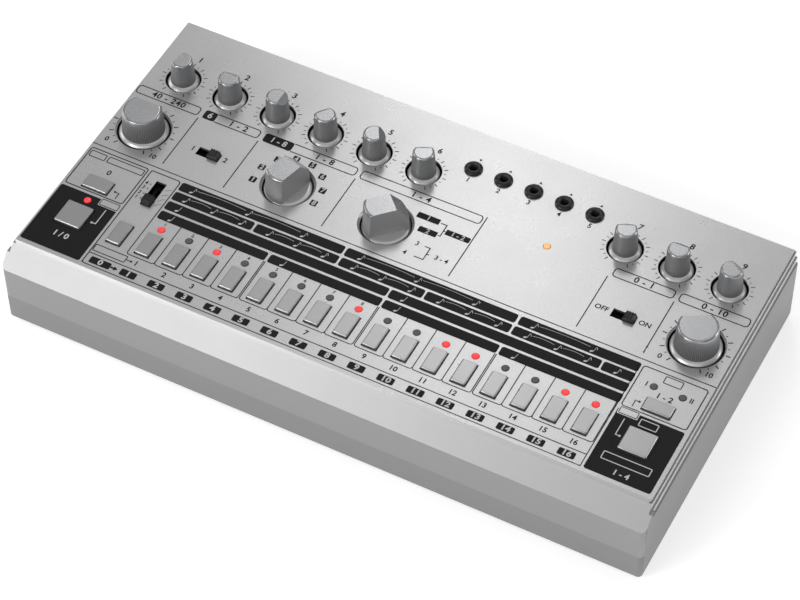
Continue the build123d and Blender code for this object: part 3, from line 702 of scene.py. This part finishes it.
# ------------------------------------------------------------------ buttons
def rounded_block(bm, w, d, z0, z1, rv, rt, place, segs=4, dish=0.0):
    """Block with rounded upright edges and a rounded top edge, from closed rings."""
    def ring(inset, z):
        pts = rounded(-w / 2 + inset, w / 2 - inset, -d / 2 + inset, d / 2 - inset, max(0.05, rv - inset * 0.7), 5)
        return [bm.verts.new(place @ Vector((px, py, z))) for px, py in pts]
    if segs == 0:
        # flat chamfer with eased edges
        rings = [ring(0.0, z0), ring(0.0, z1 - rt - 0.05), ring(0.04, z1 - rt + 0.04), ring(rt - 0.04, z1 - 0.04),
                 ring(rt + 0.04, z1)]
    else:
        rings = [ring(0.0, z0), ring(0.0, z1 - rt)]
    for i in range(1, segs + 1):
        a = math.radians(90 * i / segs)
        rings.append(ring(rt * (1 - math.cos(a)), z1 - rt + rt * math.sin(a)))
    if dish:
        rings.append(ring(rt + 0.6, z1 - dish * 0.5))
        rings.append(ring(rt + min(w, d) * 0.22, z1 - dish))
    for a, b in zip(rings, rings[1:]):
        n = len(a)
        for i in range(n):
            j = (i + 1) % n
            bm.faces.new((a[i], a[j], b[j], b[i]))
    bm.faces.new(rings[-1])
    bm.faces.new(list(reversed(rings[0])))


for name, (x, y, w, d) in BUTTONS.items():
    bm = bmesh.new()
    place = case_place(x, y, TOP)
    rounded_block(bm, w, d, -2.3, 1.4, 0.5, 0.38, place, segs=0)
    rounded_block(bm, w + 2.1, d + 2.1, -2.75, -1.6, 0.5, 0.15, place, segs=2)
    add_lathe(bm, [(0, -12.65), (1.65, -12.65), (1.7, -12.5), (1.7, -7.5), (1.9, -7.4), (1.9, -2.6), (0, -2.6)], 32, place)
    o = finish_object(name + "_cap", bm, "button", name, sharp=20, flats=12.0)
    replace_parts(o, name)


# ------------------------------------------------------------------ sliders
def ridged(name, x0, x1, y0, y1, along, mat="slider"):
    """Slider head: ridges across its travel, sloping shoulders."""
    cx, cy = (x0 + x1) / 2, (y0 + y1) / 2
    place = case_place(cx, cy, TOP)
    if along == "y":
        place = place @ Matrix.Rotation(math.radians(90), 4, "Z")
        length, width = y1 - y0, x1 - x0
    else:
        length, width = x1 - x0, y1 - y0
    L, B = length / 2, width / 2
    h = 2.66
    prof = [(-L, -3.9), (-L, 0.9)]
    prof += [(-L + 0.25, 1.35), (-L + 0.75, h)]
    n = 3
    span = length - 1.5
    for i in range(n):
        c = -L + 0.75 + span * (i + 0.5) / n
        g = span / n * 0.26
        prof += [(c - g * 1.35, h), (c - g, h - 0.5), (c + g, h - 0.5), (c + g * 1.35, h)]
    prof += [(L - 0.75, h), (L - 0.25, 1.35), (L, 0.9), (L, -3.9)]
    bm = bmesh.new()
    front = [bm.verts.new(place @ Vector((px, -B, pz))) for px, pz in prof]
    back = [bm.verts.new(place @ Vector((px, B, pz))) for px, pz in prof]
    bm.faces.new(front)
    bm.faces.new(list(reversed(back)))
    m = len(prof)
    for i in range(m):
        j = (i + 1) % m
        bm.faces.new((front[i], back[i], back[j], front[j]))
    bm.normal_update()
    sharp = [e for e in bm.edges if e.calc_face_angle(0) > math.radians(25)]
    bmesh.ops.bevel(bm, geom=sharp, offset=0.09 * MM, offset_type="OFFSET", segments=2, profile=0.5, affect="EDGES",
                    clamp_overlap=True)
    add_prism(bm, [(-1.1, -1.1), (1.1, -1.1), (1.1, 1.1), (-1.1, 1.1)], -9.0, -3.8, place)
    o = finish_object(name + "_head", bm, mat, name, sharp=30)
    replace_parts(o, name)


ridged("slider_voice_select", -101.0, -95.6, 89.0, 93.1, "x")
ridged("slider_distortion", 100.5, 105.9, 89.0, 93.1, "x")
ridged("slider_scale", -112.9, -108.4, 52.45, 57.65, "y")


# ------------------------------------------------------------------ lights
def lens_at(bm, x, y):
    r = 1.66
    prof = [(0, -5.4), (r, -5.4), (r, -0.05)] + arc(0, -1.62, 2.27, 43, 90, 6)[1:-1] + [(0, 0.55)]
    prof = [(0, -5.4), (r, -5.4), (r, 0.0), (r * 0.97, 0.16), (r * 0.86, 0.32), (r * 0.66, 0.44), (r * 0.36, 0.52), (0, 0.55)]
    add_lathe(bm, prof, 32, case_place(x, y, TOP), groove=lambda z, a: max(0.0, min(1.0, (0.47 - z) / 0.28)))


LIT = {1, 3, 8, 11, 12, 15, 16}
on, off, orange = bmesh.new(), bmesh.new(), bmesh.new()
for i, x in enumerate(STEP_X):
    lens_at(on if i + 1 in LIT else off, x, LED_Y)
lens_at(on, *STATUS_LEDS[0])
lens_at(off, *STATUS_LEDS[1])
lens_at(off, *STATUS_LEDS[2])
lens_at(orange, *STATUS_LEDS[3])
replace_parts(finish_object("lenses_lit", on, "led_on", "case", sharp=50), "step_leds")
finish_object("lenses_unlit", off, "led_off", "case", sharp=50)
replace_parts(finish_object("lens_orange", orange, "led_orange", "case", sharp=50), "status_leds")


# ------------------------------------------------------------------ nuts
def nut(bm, place, r_in, r_out, h, slots=0):
    prof = [(r_in, 0.0), (r_out - 0.05, 0.0), (r_out, 0.08)] + arc(r_out - 0.55, h - 0.6, 0.55, 0, 80, 5)
    prof += [(r_out - 0.75, h), (r_in + 0.55, h), (r_in + 0.35, h - 0.12), (r_in, h - 0.35)]
    add_ring(bm, prof, 72, place)


bm = bmesh.new()
for x, y in PANEL_JACKS:
    # low domed nut with a black collar round the mouth
    prof = [(2.50, 1.0), (2.97, 0.0), (4.15, 0.0), (4.2, 0.08), (4.2, 0.45)] + arc(3.55, 0.45, 0.65, 0, 52, 4)[1:]
    prof += [(3.45, 1.38), (3.0, 1.6), (2.62, 1.62), (2.50, 1.54)]
    add_ring(bm, prof, 72, case_place(x, y, TOP))
REAR = Matrix.Rotation(math.radians(-90), 4, "X")


def rear_place(x, z, y=CASE_D):
    """Local Z points out of the rear."""
    return Matrix.Translation(W(x, y, z)) @ REAR @ Matrix.Scale(MM, 4)


for x, z in VOICE_JACKS:
    nut(bm, rear_place(x, z), 2.97, 4.4, 1.8)
nut(bm, rear_place(*MAIN_JACK), 5.42, 8.0, 2.6)
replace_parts(finish_object("jack_nut_rings", bm, "black_metal", "case", sharp=40), "jack_nuts")

# bright ferrules in the mouths of the small sockets
bm = bmesh.new()
for x, y in PANEL_JACKS:
    add_ring(bm, [(1.81, -0.2), (2.49, -0.2), (2.49, 1.50), (2.40, 1.55), (2.30, 1.47), (1.86, 1.08), (1.81, 1.02)], 64,
             case_place(x, y, TOP))
for x, z in VOICE_JACKS:
    add_ring(bm, [(1.82, -0.2), (2.93, -0.2), (2.93, 1.95), (2.75, 2.15), (2.2, 2.19), (1.95, 2.05), (1.82, 1.8)], 48,
             rear_place(x, z))
finish_object("jack_ferrules", bm, "contact", "case", sharp=50)

# ------------------------------------------------------------------ MIDI inserts
bm = bmesh.new()
pins = bmesh.new()
for x, z in MIDI:
    p = rear_place(x, z, 149.02)
    add_lathe(bm, [(0, 0), (7.3, 0), (7.3, 1.0), (6.9, 1.3), (0, 1.3)], 64, p)
    for k in range(5):
        a = math.radians(180 + 45 * k)
        px, py = 4.9 * math.cos(a), 4.9 * math.sin(a)
        q = p @ Matrix.Translation((px, py, 0))
        add_ring(pins, [(0.72, 0.4), (1.05, 0.4), (1.05, 1.45), (0.95, 1.5), (0.8, 1.5), (0.72, 1.42)], 24, q)
    add_prism(bm, [(-1.2, 6.1), (1.2, 6.1), (1.2, 7.3), (-1.2, 7.3)], 1.0, 8.0, p)
finish_object("midi_inserts", bm, "socket", "case", sharp=40)
finish_object("midi_contacts", pins, "contact", "case", sharp=40)

# ------------------------------------------------------------------ CAD nodes that stay, with their finish
PLAIN = {
    "control_panel": "panel", "upper_case": "upper", "bottom_case": "lower", "rear_panel": "rear",
    "base_plate": "lower", "case_posts": "lower", "rubber_feet": "rubber", "screws": "steel", "main_board": "board",
    "jack_board": "board", "rotary_controls": "component",
    "tact_switches": "component", "slide_switches": "component", "panel_jacks": "socket",
    "voice_output_jacks": "socket", "main_output_jack": "socket", "midi_sockets": "socket", "usb_socket": "contact",
    "dc_inlet": "socket", "slider_power": "slider",
}
ROUNDED = {"control_panel": 0.16, "upper_case": 0.34, "bottom_case": 0.28, "rear_panel": 0.15, "rubber_feet": 0.4,
           "screws": 0.1, "slider_power": 0.15, "usb_socket": 0.12, "dc_inlet": 0.12, "main_output_jack": 0.3}


def mark_edges(o, keep):
    """Gives a bevel weight to the outline edges of the CAD faces that keep(a, b) accepts (case coordinates, mm)."""
    me = o.data
    count = [0] * len(me.edges)
    for poly in me.polygons:
        for li in poly.loop_indices:
            count[me.loops[li].edge_index] += 1
    at = me.attributes.new("bevel_weight_edge", "FLOAT", "EDGE")
    co = [((o.matrix_world @ v.co) / MM) - Vector((0, DY, DZ)) for v in me.vertices]
    for e in me.edges:
        if count[e.index] < 2 and keep(co[e.vertices[0]], co[e.vertices[1]]):
            at.data[e.index].value = 1.0


mark_edges(NODES["control_panel"], lambda a, b: a.z > TOP - 0.01 and b.z > TOP - 0.01)
for n, mname in PLAIN.items():
    o = NODES[n]
    o.data.materials.clear()
    o.data.materials.append(MAT[mname])
    w = o.modifiers.new("weld", "WELD")
    w.merge_threshold = 2e-6
    if n in ROUNDED:
        b = o.modifiers.new("edges", "BEVEL")
        b.width = ROUNDED[n] * MM
        b.segments = 2
        b.limit_method = "WEIGHT" if n == "control_panel" else "ANGLE"
        b.angle_limit = math.radians(32)
        b.use_clamp_overlap = True
        b.harden_normals = True

# ------------------------------------------------------------------ printing on the panel
Z0, Z1, Z2 = -0.03, 0.025, 0.045
INK = Print(Z0, Z1, case_place(0, 0, TOP))        # black
INKW = Print(Z0, Z2, case_place(0, 0, TOP))       # white, over black
LIGHT = Print(Z0, Z2, case_place(0, 0, TOP))      # panel-coloured, over black
T = 0.50                                          # usual line width
F = 0.44                                          # fine lines

# ticks round the dials
for (x, y, _) in SMALL_KNOBS.values():
    for k in range(21):
        a = math.radians(-150 + 15 * k)
        long = k % 2 == 0
        r0, r1 = 9.05, (10.85 if long else 9.95)
        INK.line([(x + r0 * math.sin(a), y + r0 * math.cos(a)), (x + r1 * math.sin(a), y + r1 * math.cos(a))],
                 0.38 if long else 0.32)
for (x, y, _) in BIG_KNOBS.values():
    for k in range(21):
        a = math.radians(-150 + 15 * k)
        long = k % 2 == 0
        r0, r1 = 13.3, (15.4 if long else 14.15)
        INK.line([(x + r0 * math.sin(a), y + r0 * math.cos(a)), (x + r1 * math.sin(a), y + r1 * math.cos(a))],
                 0.52 if long else 0.42)

# number tags round the instrument selector
TAGS = [(-76.4, 87.2), (-76.4, 95.3), (-72.2, 102.4), (-65.2, 106.4), (-57.1, 106.4), (-50, 102.4), (-46, 95.3), (-46, 87.2)]
for i, (x, y) in enumerate(TAGS):
    INK.box(x - 1.6, x + 1.6, y - 1.65, y + 1.65, 0.5)
    INKW.text(str(i + 1), x, y, 2.5, weight=0.10)

# tags and brackets beside the mode selector
INK.box(-2.9, 7.9, 100.7, 103.9, 0.5)
INK.box(1.1, 10.0, 93.7, 96.9, 0.5)
INK.box(12.6, 24.2, 97.2, 100.3, 0.5)
INKW.text("1", 2.5, 102.3, 2.4, weight=0.08)
INKW.text("2", 5.5, 95.3, 2.4, weight=0.08)
INKW.text("1 - 2", 18.4, 98.75, 2.4, weight=0.08)
INK.line([(8.6, 102.2), (11.5, 102.2), (11.5, 95.4), (10.4, 95.4)], T)
INK.line([(11.5, 98.8), (12.4, 98.8)], T)
INK.text("3", 4.7, 87.2, 2.4, weight=0.07)
INK.text("4", 2.0, 80.4, 2.4, weight=0.07)
INK.line([(8.4, 87.3), (11.0, 87.3), (11.0, 80.3), (6.6, 80.3)], T)
INK.line([(11.0, 83.7), (12.2, 83.7)], T)
INK.text("3 - 4", 18.0, 83.7, 2.4, weight=0.07)

# header boxes
H0, H1, HR = 109.0, 114.3, 1.5
INK.frame(-149.8, -117.3, H0, H1, HR, T)
INK.box(-115.1, -109.0, H0, H1, 1.2)
INK.line([(-109.0, H1 - T / 2)] + [(px, py) for px, py in rounded(-109.0, -86.6 - T / 2, H0 + T / 2, H1 - T / 2, HR)[7:21]][::-1] + [(-109.0, H0 + T / 2)], T)
INK.box(-84.3, -70.0, H0, H1, 1.2)
INK.line([(-70.0, H1 - T / 2)] + [(px, py) for px, py in rounded(-70.0, -37.7 - T / 2, H0 + T / 2, H1 - T / 2, HR)[7:21]][::-1] + [(-70.0, H0 + T / 2)], T)
INK.frame(-35.7, 23.7, H0, H1, HR, T)
INK.frame(86.3, 114.9, H0, H1, HR, T)
INK.frame(117.0, 149.4, H0, H1, HR, T)
INKW.text("6", -112.05, 111.65, 3.2, weight=0.10)
INKW.text("1 - 8", -77.1, 111.65, 3.0, weight=0.10)
INK.text("40 - 240", -133.5, 111.65, 3.1, weight=0.11, space=1.12)
INK.text("1 - 2", -97.6, 111.65, 3.1, weight=0.11, space=1.12)
INK.text("1 - 8", -53.9, 111.65, 3.1, weight=0.11, space=1.12)
INK.text("1 - 4", -6.0, 111.65, 3.1, weight=0.11, space=1.12)
INK.text("0 - 1", 100.6, 111.65, 3.1, weight=0.11, space=1.12)
INK.text("0 - 10", 133.2, 111.65, 3.1, weight=0.11, space=1.12)

# separators
for x in (-116.3, -85.6, -36.7, 24.9, 85.1, 116.0):
    INK.line([(x, 108.2 if x not in (24.9,) else 114.4), (x, 77.0)], T)
# painted shade: black at the bottom of the groove between the two fields, for the dark line of the step there
GROOVE_SHADE = Print(-0.47, -0.12, case_place(0, 0, TOP))
GROOVE_SHADE.box(-150.37, 150.37, 73.74, 74.26)
GROOVE_SHADE.done("panel_groove_painted_shade", "ink_black")

# end marks of the dials: plain numbers
INK.text("0", -146.0, 78.7, 2.5, weight=0.09)
INK.text("10", -122.6, 78.7, 2.5, weight=0.09)
INK.text("0", 122.6, 78.7, 2.5, weight=0.09)
INK.text("10", 144.9, 78.7, 2.5, weight=0.09)
for i, (x, y, _) in enumerate(SMALL_KNOBS.values()):
    INK.text(str(i + 1), x + 1.0, 139.6, 3.0, weight=0.11)

# slide switches
INK.text("1", -109.0, 91.2, 2.6, weight=0.09)
INK.text("2", -92.7, 91.2, 2.6, weight=0.09)
INK.text("OFF", 90.2, 91.2, 2.5, weight=0.08)
INK.text("ON", 110.2, 91.2, 2.5, weight=0.08)
for k, y in enumerate((55.3, 58.2, 61.4, 64.2)):
    INK.text(str(k + 1), -116.75, y, 2.0, weight=0.05)
    INK.fill(circle(-114.7, y, 0.34, 14))
# small wave marks beside the scale switch
for k, y in enumerate((54.9, 58.0, 61.3, 64.6)):
    INK.line([(-107.1, y - 1.2 + 0.2 * k), (-106.5, y - 0.7), (-105.6, y + 0.9 - 0.25 * k), (-104.7, y + 1.2 - 0.2 * k)], 0.2)

# triangles and numbers of the panel jacks
for i, (x, y) in enumerate(PANEL_JACKS):
    x += 0.45
    s = -1 if i == 0 else 1
    INK.fill([(x - 0.75, 143.0 - s * 0.55), (x + 0.75, 143.0 - s * 0.55), (x, 143.0 + s * 0.75)][::s])
    INK.text(str(i + 1), x - 0.0, 130.2, 2.5, weight=0.09)

# black blocks round the start and write buttons, with holes for the buttons and the light
def hole(name):
    x, y, w, d = BUTTONS[name]
    return rounded(x - w / 2 - 0.4, x + w / 2 + 0.4, y - d / 2 - 0.4, y + d / 2 + 0.4, 0.1, 2)


INK.shape([rounded(-149.6, -119.7, 12.2, 46.8, 1.1), hole("button_start_stop"), circle(-134.4, 43.5, 1.8, 32)])
INK.shape([rounded(118.8, 148.6, 12.1, 46.7, 1.1), hole("button_write_next")])
# clear block
INK.frame(-149.2, -119.6, 48.1, 71.7, 1.2, T)
INK.frame(-148.2, -140.0, 66.4, 70.1, 0.4, F)
INK.frame(-139.0, -120.7, 66.4, 70.1, 0.4, F)
INK.frame(118.9, 148.6, 47.9, 71.4, 1.2, T)
INK.frame(129.6, 137.9, 66.2, 70.3, 0.4, F)
INK.text("I", 123.9, 62.8, 2.5, weight=0.09)
INK.text("II", 144.2, 62.8, 2.5, weight=0.09)
# boxes on and at the black blocks
LIGHT.box(-129.3, -119.4, 43.3, 47.8, 0.5)
LIGHT.box(119.2, 128.4, 43.6, 47.9, 0.5)
FRAMES = Print(Z2 - 0.02, Z2 + 0.035, case_place(0, 0, TOP))
FRAMES.frame(-128.9, -119.8, 43.7, 47.4, 0.35, 0.34)
FRAMES.frame(119.6, 128.0, 44.0, 47.5, 0.35, 0.34)
INKW.frame(129.6, 137.9, 41.4, 45.4, 0.4, F)
INKW.frame(122.9, 144.6, 19.6, 23.9, 0.4, F)
INKW.text("1 / 0", -134.4, 21.3, 2.9, weight=0.10)
INKW.text("1 - 4", 134.0, 15.6, 2.7, weight=0.10)
INK.text("0", -134.4, 61.4, 2.8, weight=0.10)
INK.text("1 - 2", 133.6, 59.2, 2.8, weight=0.10)
# brackets
INK.fill(circle(-126.2, 53.1, 0.55, 16))
INK.line([(-125.8, 53.05), (-124.2, 53.0), (-124.2, 49.6)], F)
INKW.fill(circle(-126.1, 33.3, 0.55, 16))
INKW.line([(-125.7, 33.35), (-124.2, 33.4), (-124.2, 42.2)], F)
INK.fill(circle(125.3, 52.9, 0.55, 16))
INK.line([(124.9, 52.9), (123.5, 52.9), (123.5, 49.4)], F)
INKW.fill(circle(125.3, 33.2, 0.55, 16))
INKW.line([(124.9, 33.2), (123.5, 33.2), (123.5, 42.2)], F)
# scale column
INK.line([(-118.3, 71.4), (-104.6, 71.4), (-103.6, 70.4), (-103.6, 48.5)], T)
INK.line([(-118.3, 71.4), (-118.3, 12.3)], T)

# step columns
DIV = [(STEP_X[i] + STEP_X[i + 1]) / 2 for i in range(15)]
EDGES = [-103.6] + DIV + [117.0]
for i in range(16):
    x0, x1 = EDGES[i], EDGES[i + 1]
    if i in (3, 7, 11):
        x1 -= 0.35
    if i in (4, 8, 12):
        x0 += 0.35
    r = 1.2
    y0, y1 = 25.1, 48.5
    path = [(x0, y1), (x0, y0 + r)]
    path += [(x0 + r - r * math.cos(math.radians(a)), y0 + r - r * math.sin(math.radians(a))) for a in (22, 45, 67)]
    path += [(x0 + r, y0), (x1 - r, y0)]
    path += [(x1 - r + r * math.sin(math.radians(a)), y0 + r - r * math.cos(math.radians(a))) for a in (22, 45, 67)]
    path += [(x1, y0 + r), (x1, y1)]
    INK.line(path, F)
    INK.text(str(i + 1), STEP_X[i], 21.9, 2.6, weight=0.10)
for i in range(8):
    INK.text(str(i + 1), STEP_X[i], 46.7, 1.7, weight=0.05)
# lower band with the tags
INK.line([(-118.3, 18.6), (117.5, 18.6)], F)
INK.line([(-117.1, 12.3), (117.5, 12.3), (117.5, 71.0)], F)
INK.line([(-118.3, 13.4), (-118.1, 12.7), (-117.1, 12.3)], F)
for i, x in enumerate(STEP_X):
    INK.box(x - 3.85, x + 3.85, 13.55, 17.2, 0.7)
    INKW.text(str(i + 1), x, 15.4, 2.7, weight=0.12, stretch=1.15)
INK.box(-115.9, -105.8, 13.55, 17.2, 0.7)
INKW.text("0", -110.9, 15.4, 2.7, weight=0.12, stretch=1.15)
INK.line([(-105.7, 15.4), (-103.9, 15.4)], 0.9)
INK.fill([(-104.1, 14.2), (-102.2, 15.4), (-104.1, 16.6)])
INK.frame(-117.9, -101.8, 20.0, 24.0, 0.4, F)
INK.line([(-101.8, 22.0), (-99.6, 22.0)], F)
INK.fill([(-99.8, 21.3), (-98.5, 22.0), (-99.8, 22.7)])

# note bands
BANDS = [((66.7, 71.7), [(-102.6, -21.5), (-20.5, 61.2), (62.4, 118.0)]),
         ((60.7, 65.7), [(-102.6, -62.8), (-61.8, -21.2), (-20.2, 20.2), (21.0, 61.2), (62.2, 102.8), (103.6, 118.0)]),
         ((54.6, 59.6), [(-102.6, 6.2), (7.0, 118.0)]),
         ((48.5, 53.4), [(-102.6, -49.2), (-48.0, 6.2), (7.2, 61.4), (62.4, 118.0)])]
for (y0, y1), spans in BANDS:
    for x0, x1 in spans:
        INK.box(x0, x1, y0, y1, 1.1)


def note(x, y, flags=0):
    """A note: head, stem and flags."""
    head = [(x + 0.78 * math.cos(math.radians(a)) * 1.0 + 0.12 * math.sin(math.radians(a)),
             y - 1.1 + 0.50 * math.sin(math.radians(a)) + 0.18 * math.cos(math.radians(a))) for a in range(0, 360, 24)]
    INKW.fill(head)
    INKW.line([(x + 0.72, y - 1.0), (x + 1.25, y + 1.75)], 0.2)
    for f in range(flags):
        INKW.line([(x + 1.25 - 0.14 * f, y + 1.7 - 0.75 * f), (x + 1.9 - 0.14 * f, y + 1.0 - 0.75 * f), (x + 1.95 - 0.14 * f, y + 0.3 - 0.75 * f)], 0.2)


def tie(x0, x1, y):
    n = 14
    INKW.line([(x0 + (x1 - x0) * i / n, y + 0.55 - 2.2 * (i / n - 0.5) ** 2) for i in range(n + 1)], 0.16)


row1 = [-96.6, -68.6, -41.4, -13.4, 14.0, 41.6, 69.0, 96.4]
for x in row1:
    note(x, 69.1, 1)
row2 = [[-96.6, -82.6, -68.6], [-55.0, -41.4, -28.0], [-13.6, 0.0, 14.0], [27.6, 41.2, 55.0], [68.6, 82.6, 96.4], [110.0]]
for g in row2:
    for x in g:
        note(x, 63.1, 1)
    for a, b in zip(g, g[1:]):
        tie(a + 2.6, b - 1.4, 63.9)
for g in ([-96.6, -68.6, -41.4], [-13.4, 14.0, 41.6], [69.0, 96.4]):
    for a, b in zip(g, g[1:]):
        tie(a + 2.6, b - 1.4, 69.9)
for x in (-96.8, 13.6):
    note(x, 57.0, 0)
for x in (-96.8, -41.4, 13.6, 68.8):
    note(x, 50.8, 0)

INK.done("panel_print_black", "ink_black")
INKW.done("panel_print_white", "ink_white")
LIGHT.done("panel_print_light", "ink_light")
FRAMES.done("panel_print_frames", "ink_black")

# plain numbers on the rear
RP = Print(-0.03, 0.03, rear_place(0, 0))
# local x points to the right seen from behind after the half turn below
RP.place = Matrix.Translation(W(0, CASE_D, 0)) @ Matrix.Rotation(math.radians(90), 4, "X") @ Matrix.Rotation(math.radians(180), 4, "Y") @ Matrix.Scale(MM, 4)
for i, (x, z) in enumerate(VOICE_JACKS):
    RP.text(str(i + 1), -x, z + 8.0, 2.4, shear=0, weight=0.02)
RP.text("9", -MAIN_JACK[0], MAIN_JACK[1] + 11.2, 2.6, shear=0, weight=0.02)
for i, (x, z) in enumerate(MIDI):
    RP.text(str(i + 1), -x, z + 11.4, 2.4, shear=0, weight=0.02)
RP.text("OFF", -(POWER[0] - 6.5), POWER[1] + 5.2, 2.0, shear=0, weight=0.01)
RP.text("ON", -(POWER[0] + 5.5), POWER[1] + 5.2, 2.0, shear=0, weight=0.01)
RP.frame(-POWER[0] - 6.2, -POWER[0] + 6.2, POWER[1] - 4.2, POWER[1] + 4.0, 0.6, 0.25)
RP.done("rear_print", "ink_white")

# ------------------------------------------------------------------ floor, light, camera
bm = bmesh.new()
S = 6.0
bmesh.ops.create_grid(bm, x_segments=2, y_segments=2, size=S)
me = bpy.data.meshes.new("floor")
bm.to_mesh(me)
bm.free()
m, nt, bsdf = material("floor_pale")
bsdf.inputs["Base Color"].default_value = (0.90, 0.90, 0.90, 1)
bsdf.inputs["Roughness"].default_value = 0.9
bsdf.inputs["Emission Color"].default_value = (1, 1, 1, 1)
bsdf.inputs["Emission Strength"].default_value = 0.50
me.materials.append(m)
floor = bpy.data.objects.new("floor", me)
scene.collection.objects.link(floor)

AZ, EL, ROLL = math.radians(28.015), math.radians(50.374), math.radians(-0.556)
back = Vector((math.sin(AZ) * math.cos(EL), -math.cos(AZ) * math.cos(EL), math.sin(EL)))
right = Vector((math.cos(AZ), math.sin(AZ), 0))
up = back.cross(right)
r2 = right * math.cos(ROLL) + up * math.sin(ROLL)
u2 = -right * math.sin(ROLL) + up * math.cos(ROLL)
pos = r2 * 36.91 + u2 * 60.172 + back * 1234.16
cam_data = bpy.data.cameras.new("camera")
cam_data.sensor_width = 36.0
cam_data.lens = 2908.13 / 800 * 36.0
cam_data.clip_start, cam_data.clip_end = 0.05, 50
cam = bpy.data.objects.new("camera", cam_data)
scene.collection.objects.link(cam)
rot = Matrix((r2, u2, back)).transposed()
cam.matrix_world = Matrix.Translation(W(*pos)) @ rot.to_4x4()
scene.camera = cam


def softbox(name, direction, distance, w, h, radiance, target=(0, 0, 0.04), color=(1, 1, 1)):
    """Rectangular soft light: w across, h along the direction's rise."""
    d = Vector(direction).normalized()
    li = bpy.data.lights.new(name, "AREA")
    li.shape = "RECTANGLE"
    li.size, li.size_y = w, h
    li.energy = radiance * math.pi * w * h
    li.color = color
    o = bpy.data.objects.new(name, li)
    scene.collection.objects.link(o)
    o.location = Vector(target) + d * distance
    o.rotation_euler = (-d).to_track_quat("-Z", "Y").to_euler()
    return o


world = bpy.data.worlds.new("studio")
scene.world = world
world.use_nodes = True
bg = world.node_tree.nodes["Background"]
bg.inputs["Color"].default_value = (1, 1, 1, 1)
bg.inputs["Strength"].default_value = 0.22
# broad ceiling light, reaching towards the back
softbox("ceiling", (0.0, 0.33, 1.0), 2.3, 3.2, 3.4, 0.42)
# large soft fill from the front right, above the viewer
softbox("front_right_fill", (0.36, -0.72, 0.60), 2.4, 1.7, 1.5, 0.8)
# strip behind the machine: the bright band across the panel
softbox("back_strip", (-0.276, 0.64, 0.69), 2.0, 0.26, 0.90, 3.4)
# front left: the bright bevel and the dials' front edges
softbox("front_left", (-0.44, -0.75, 0.50), 1.9, 0.62, 0.7, 4.6)
softbox("front_fill", (-0.30, -0.80, 0.54), 2.1, 1.3, 0.8, 2.3)
softbox("left_box", (-0.92, -0.05, 0.40), 1.8, 0.9, 0.6, 2.6)
# right: the edges of the right half
softbox("right_box", (0.79, 0.575, 0.20), 1.8, 0.62, 0.42, 6.5, target=(0.133, -0.04, 0.045))
softbox("edge_light", (0.60, 0.60, 0.52), 1.8, 0.30, 0.22, 3.0)

scene.view_settings.view_transform = "Standard"
scene.view_settings.look = "None"
scene.view_settings.exposure = 0.0
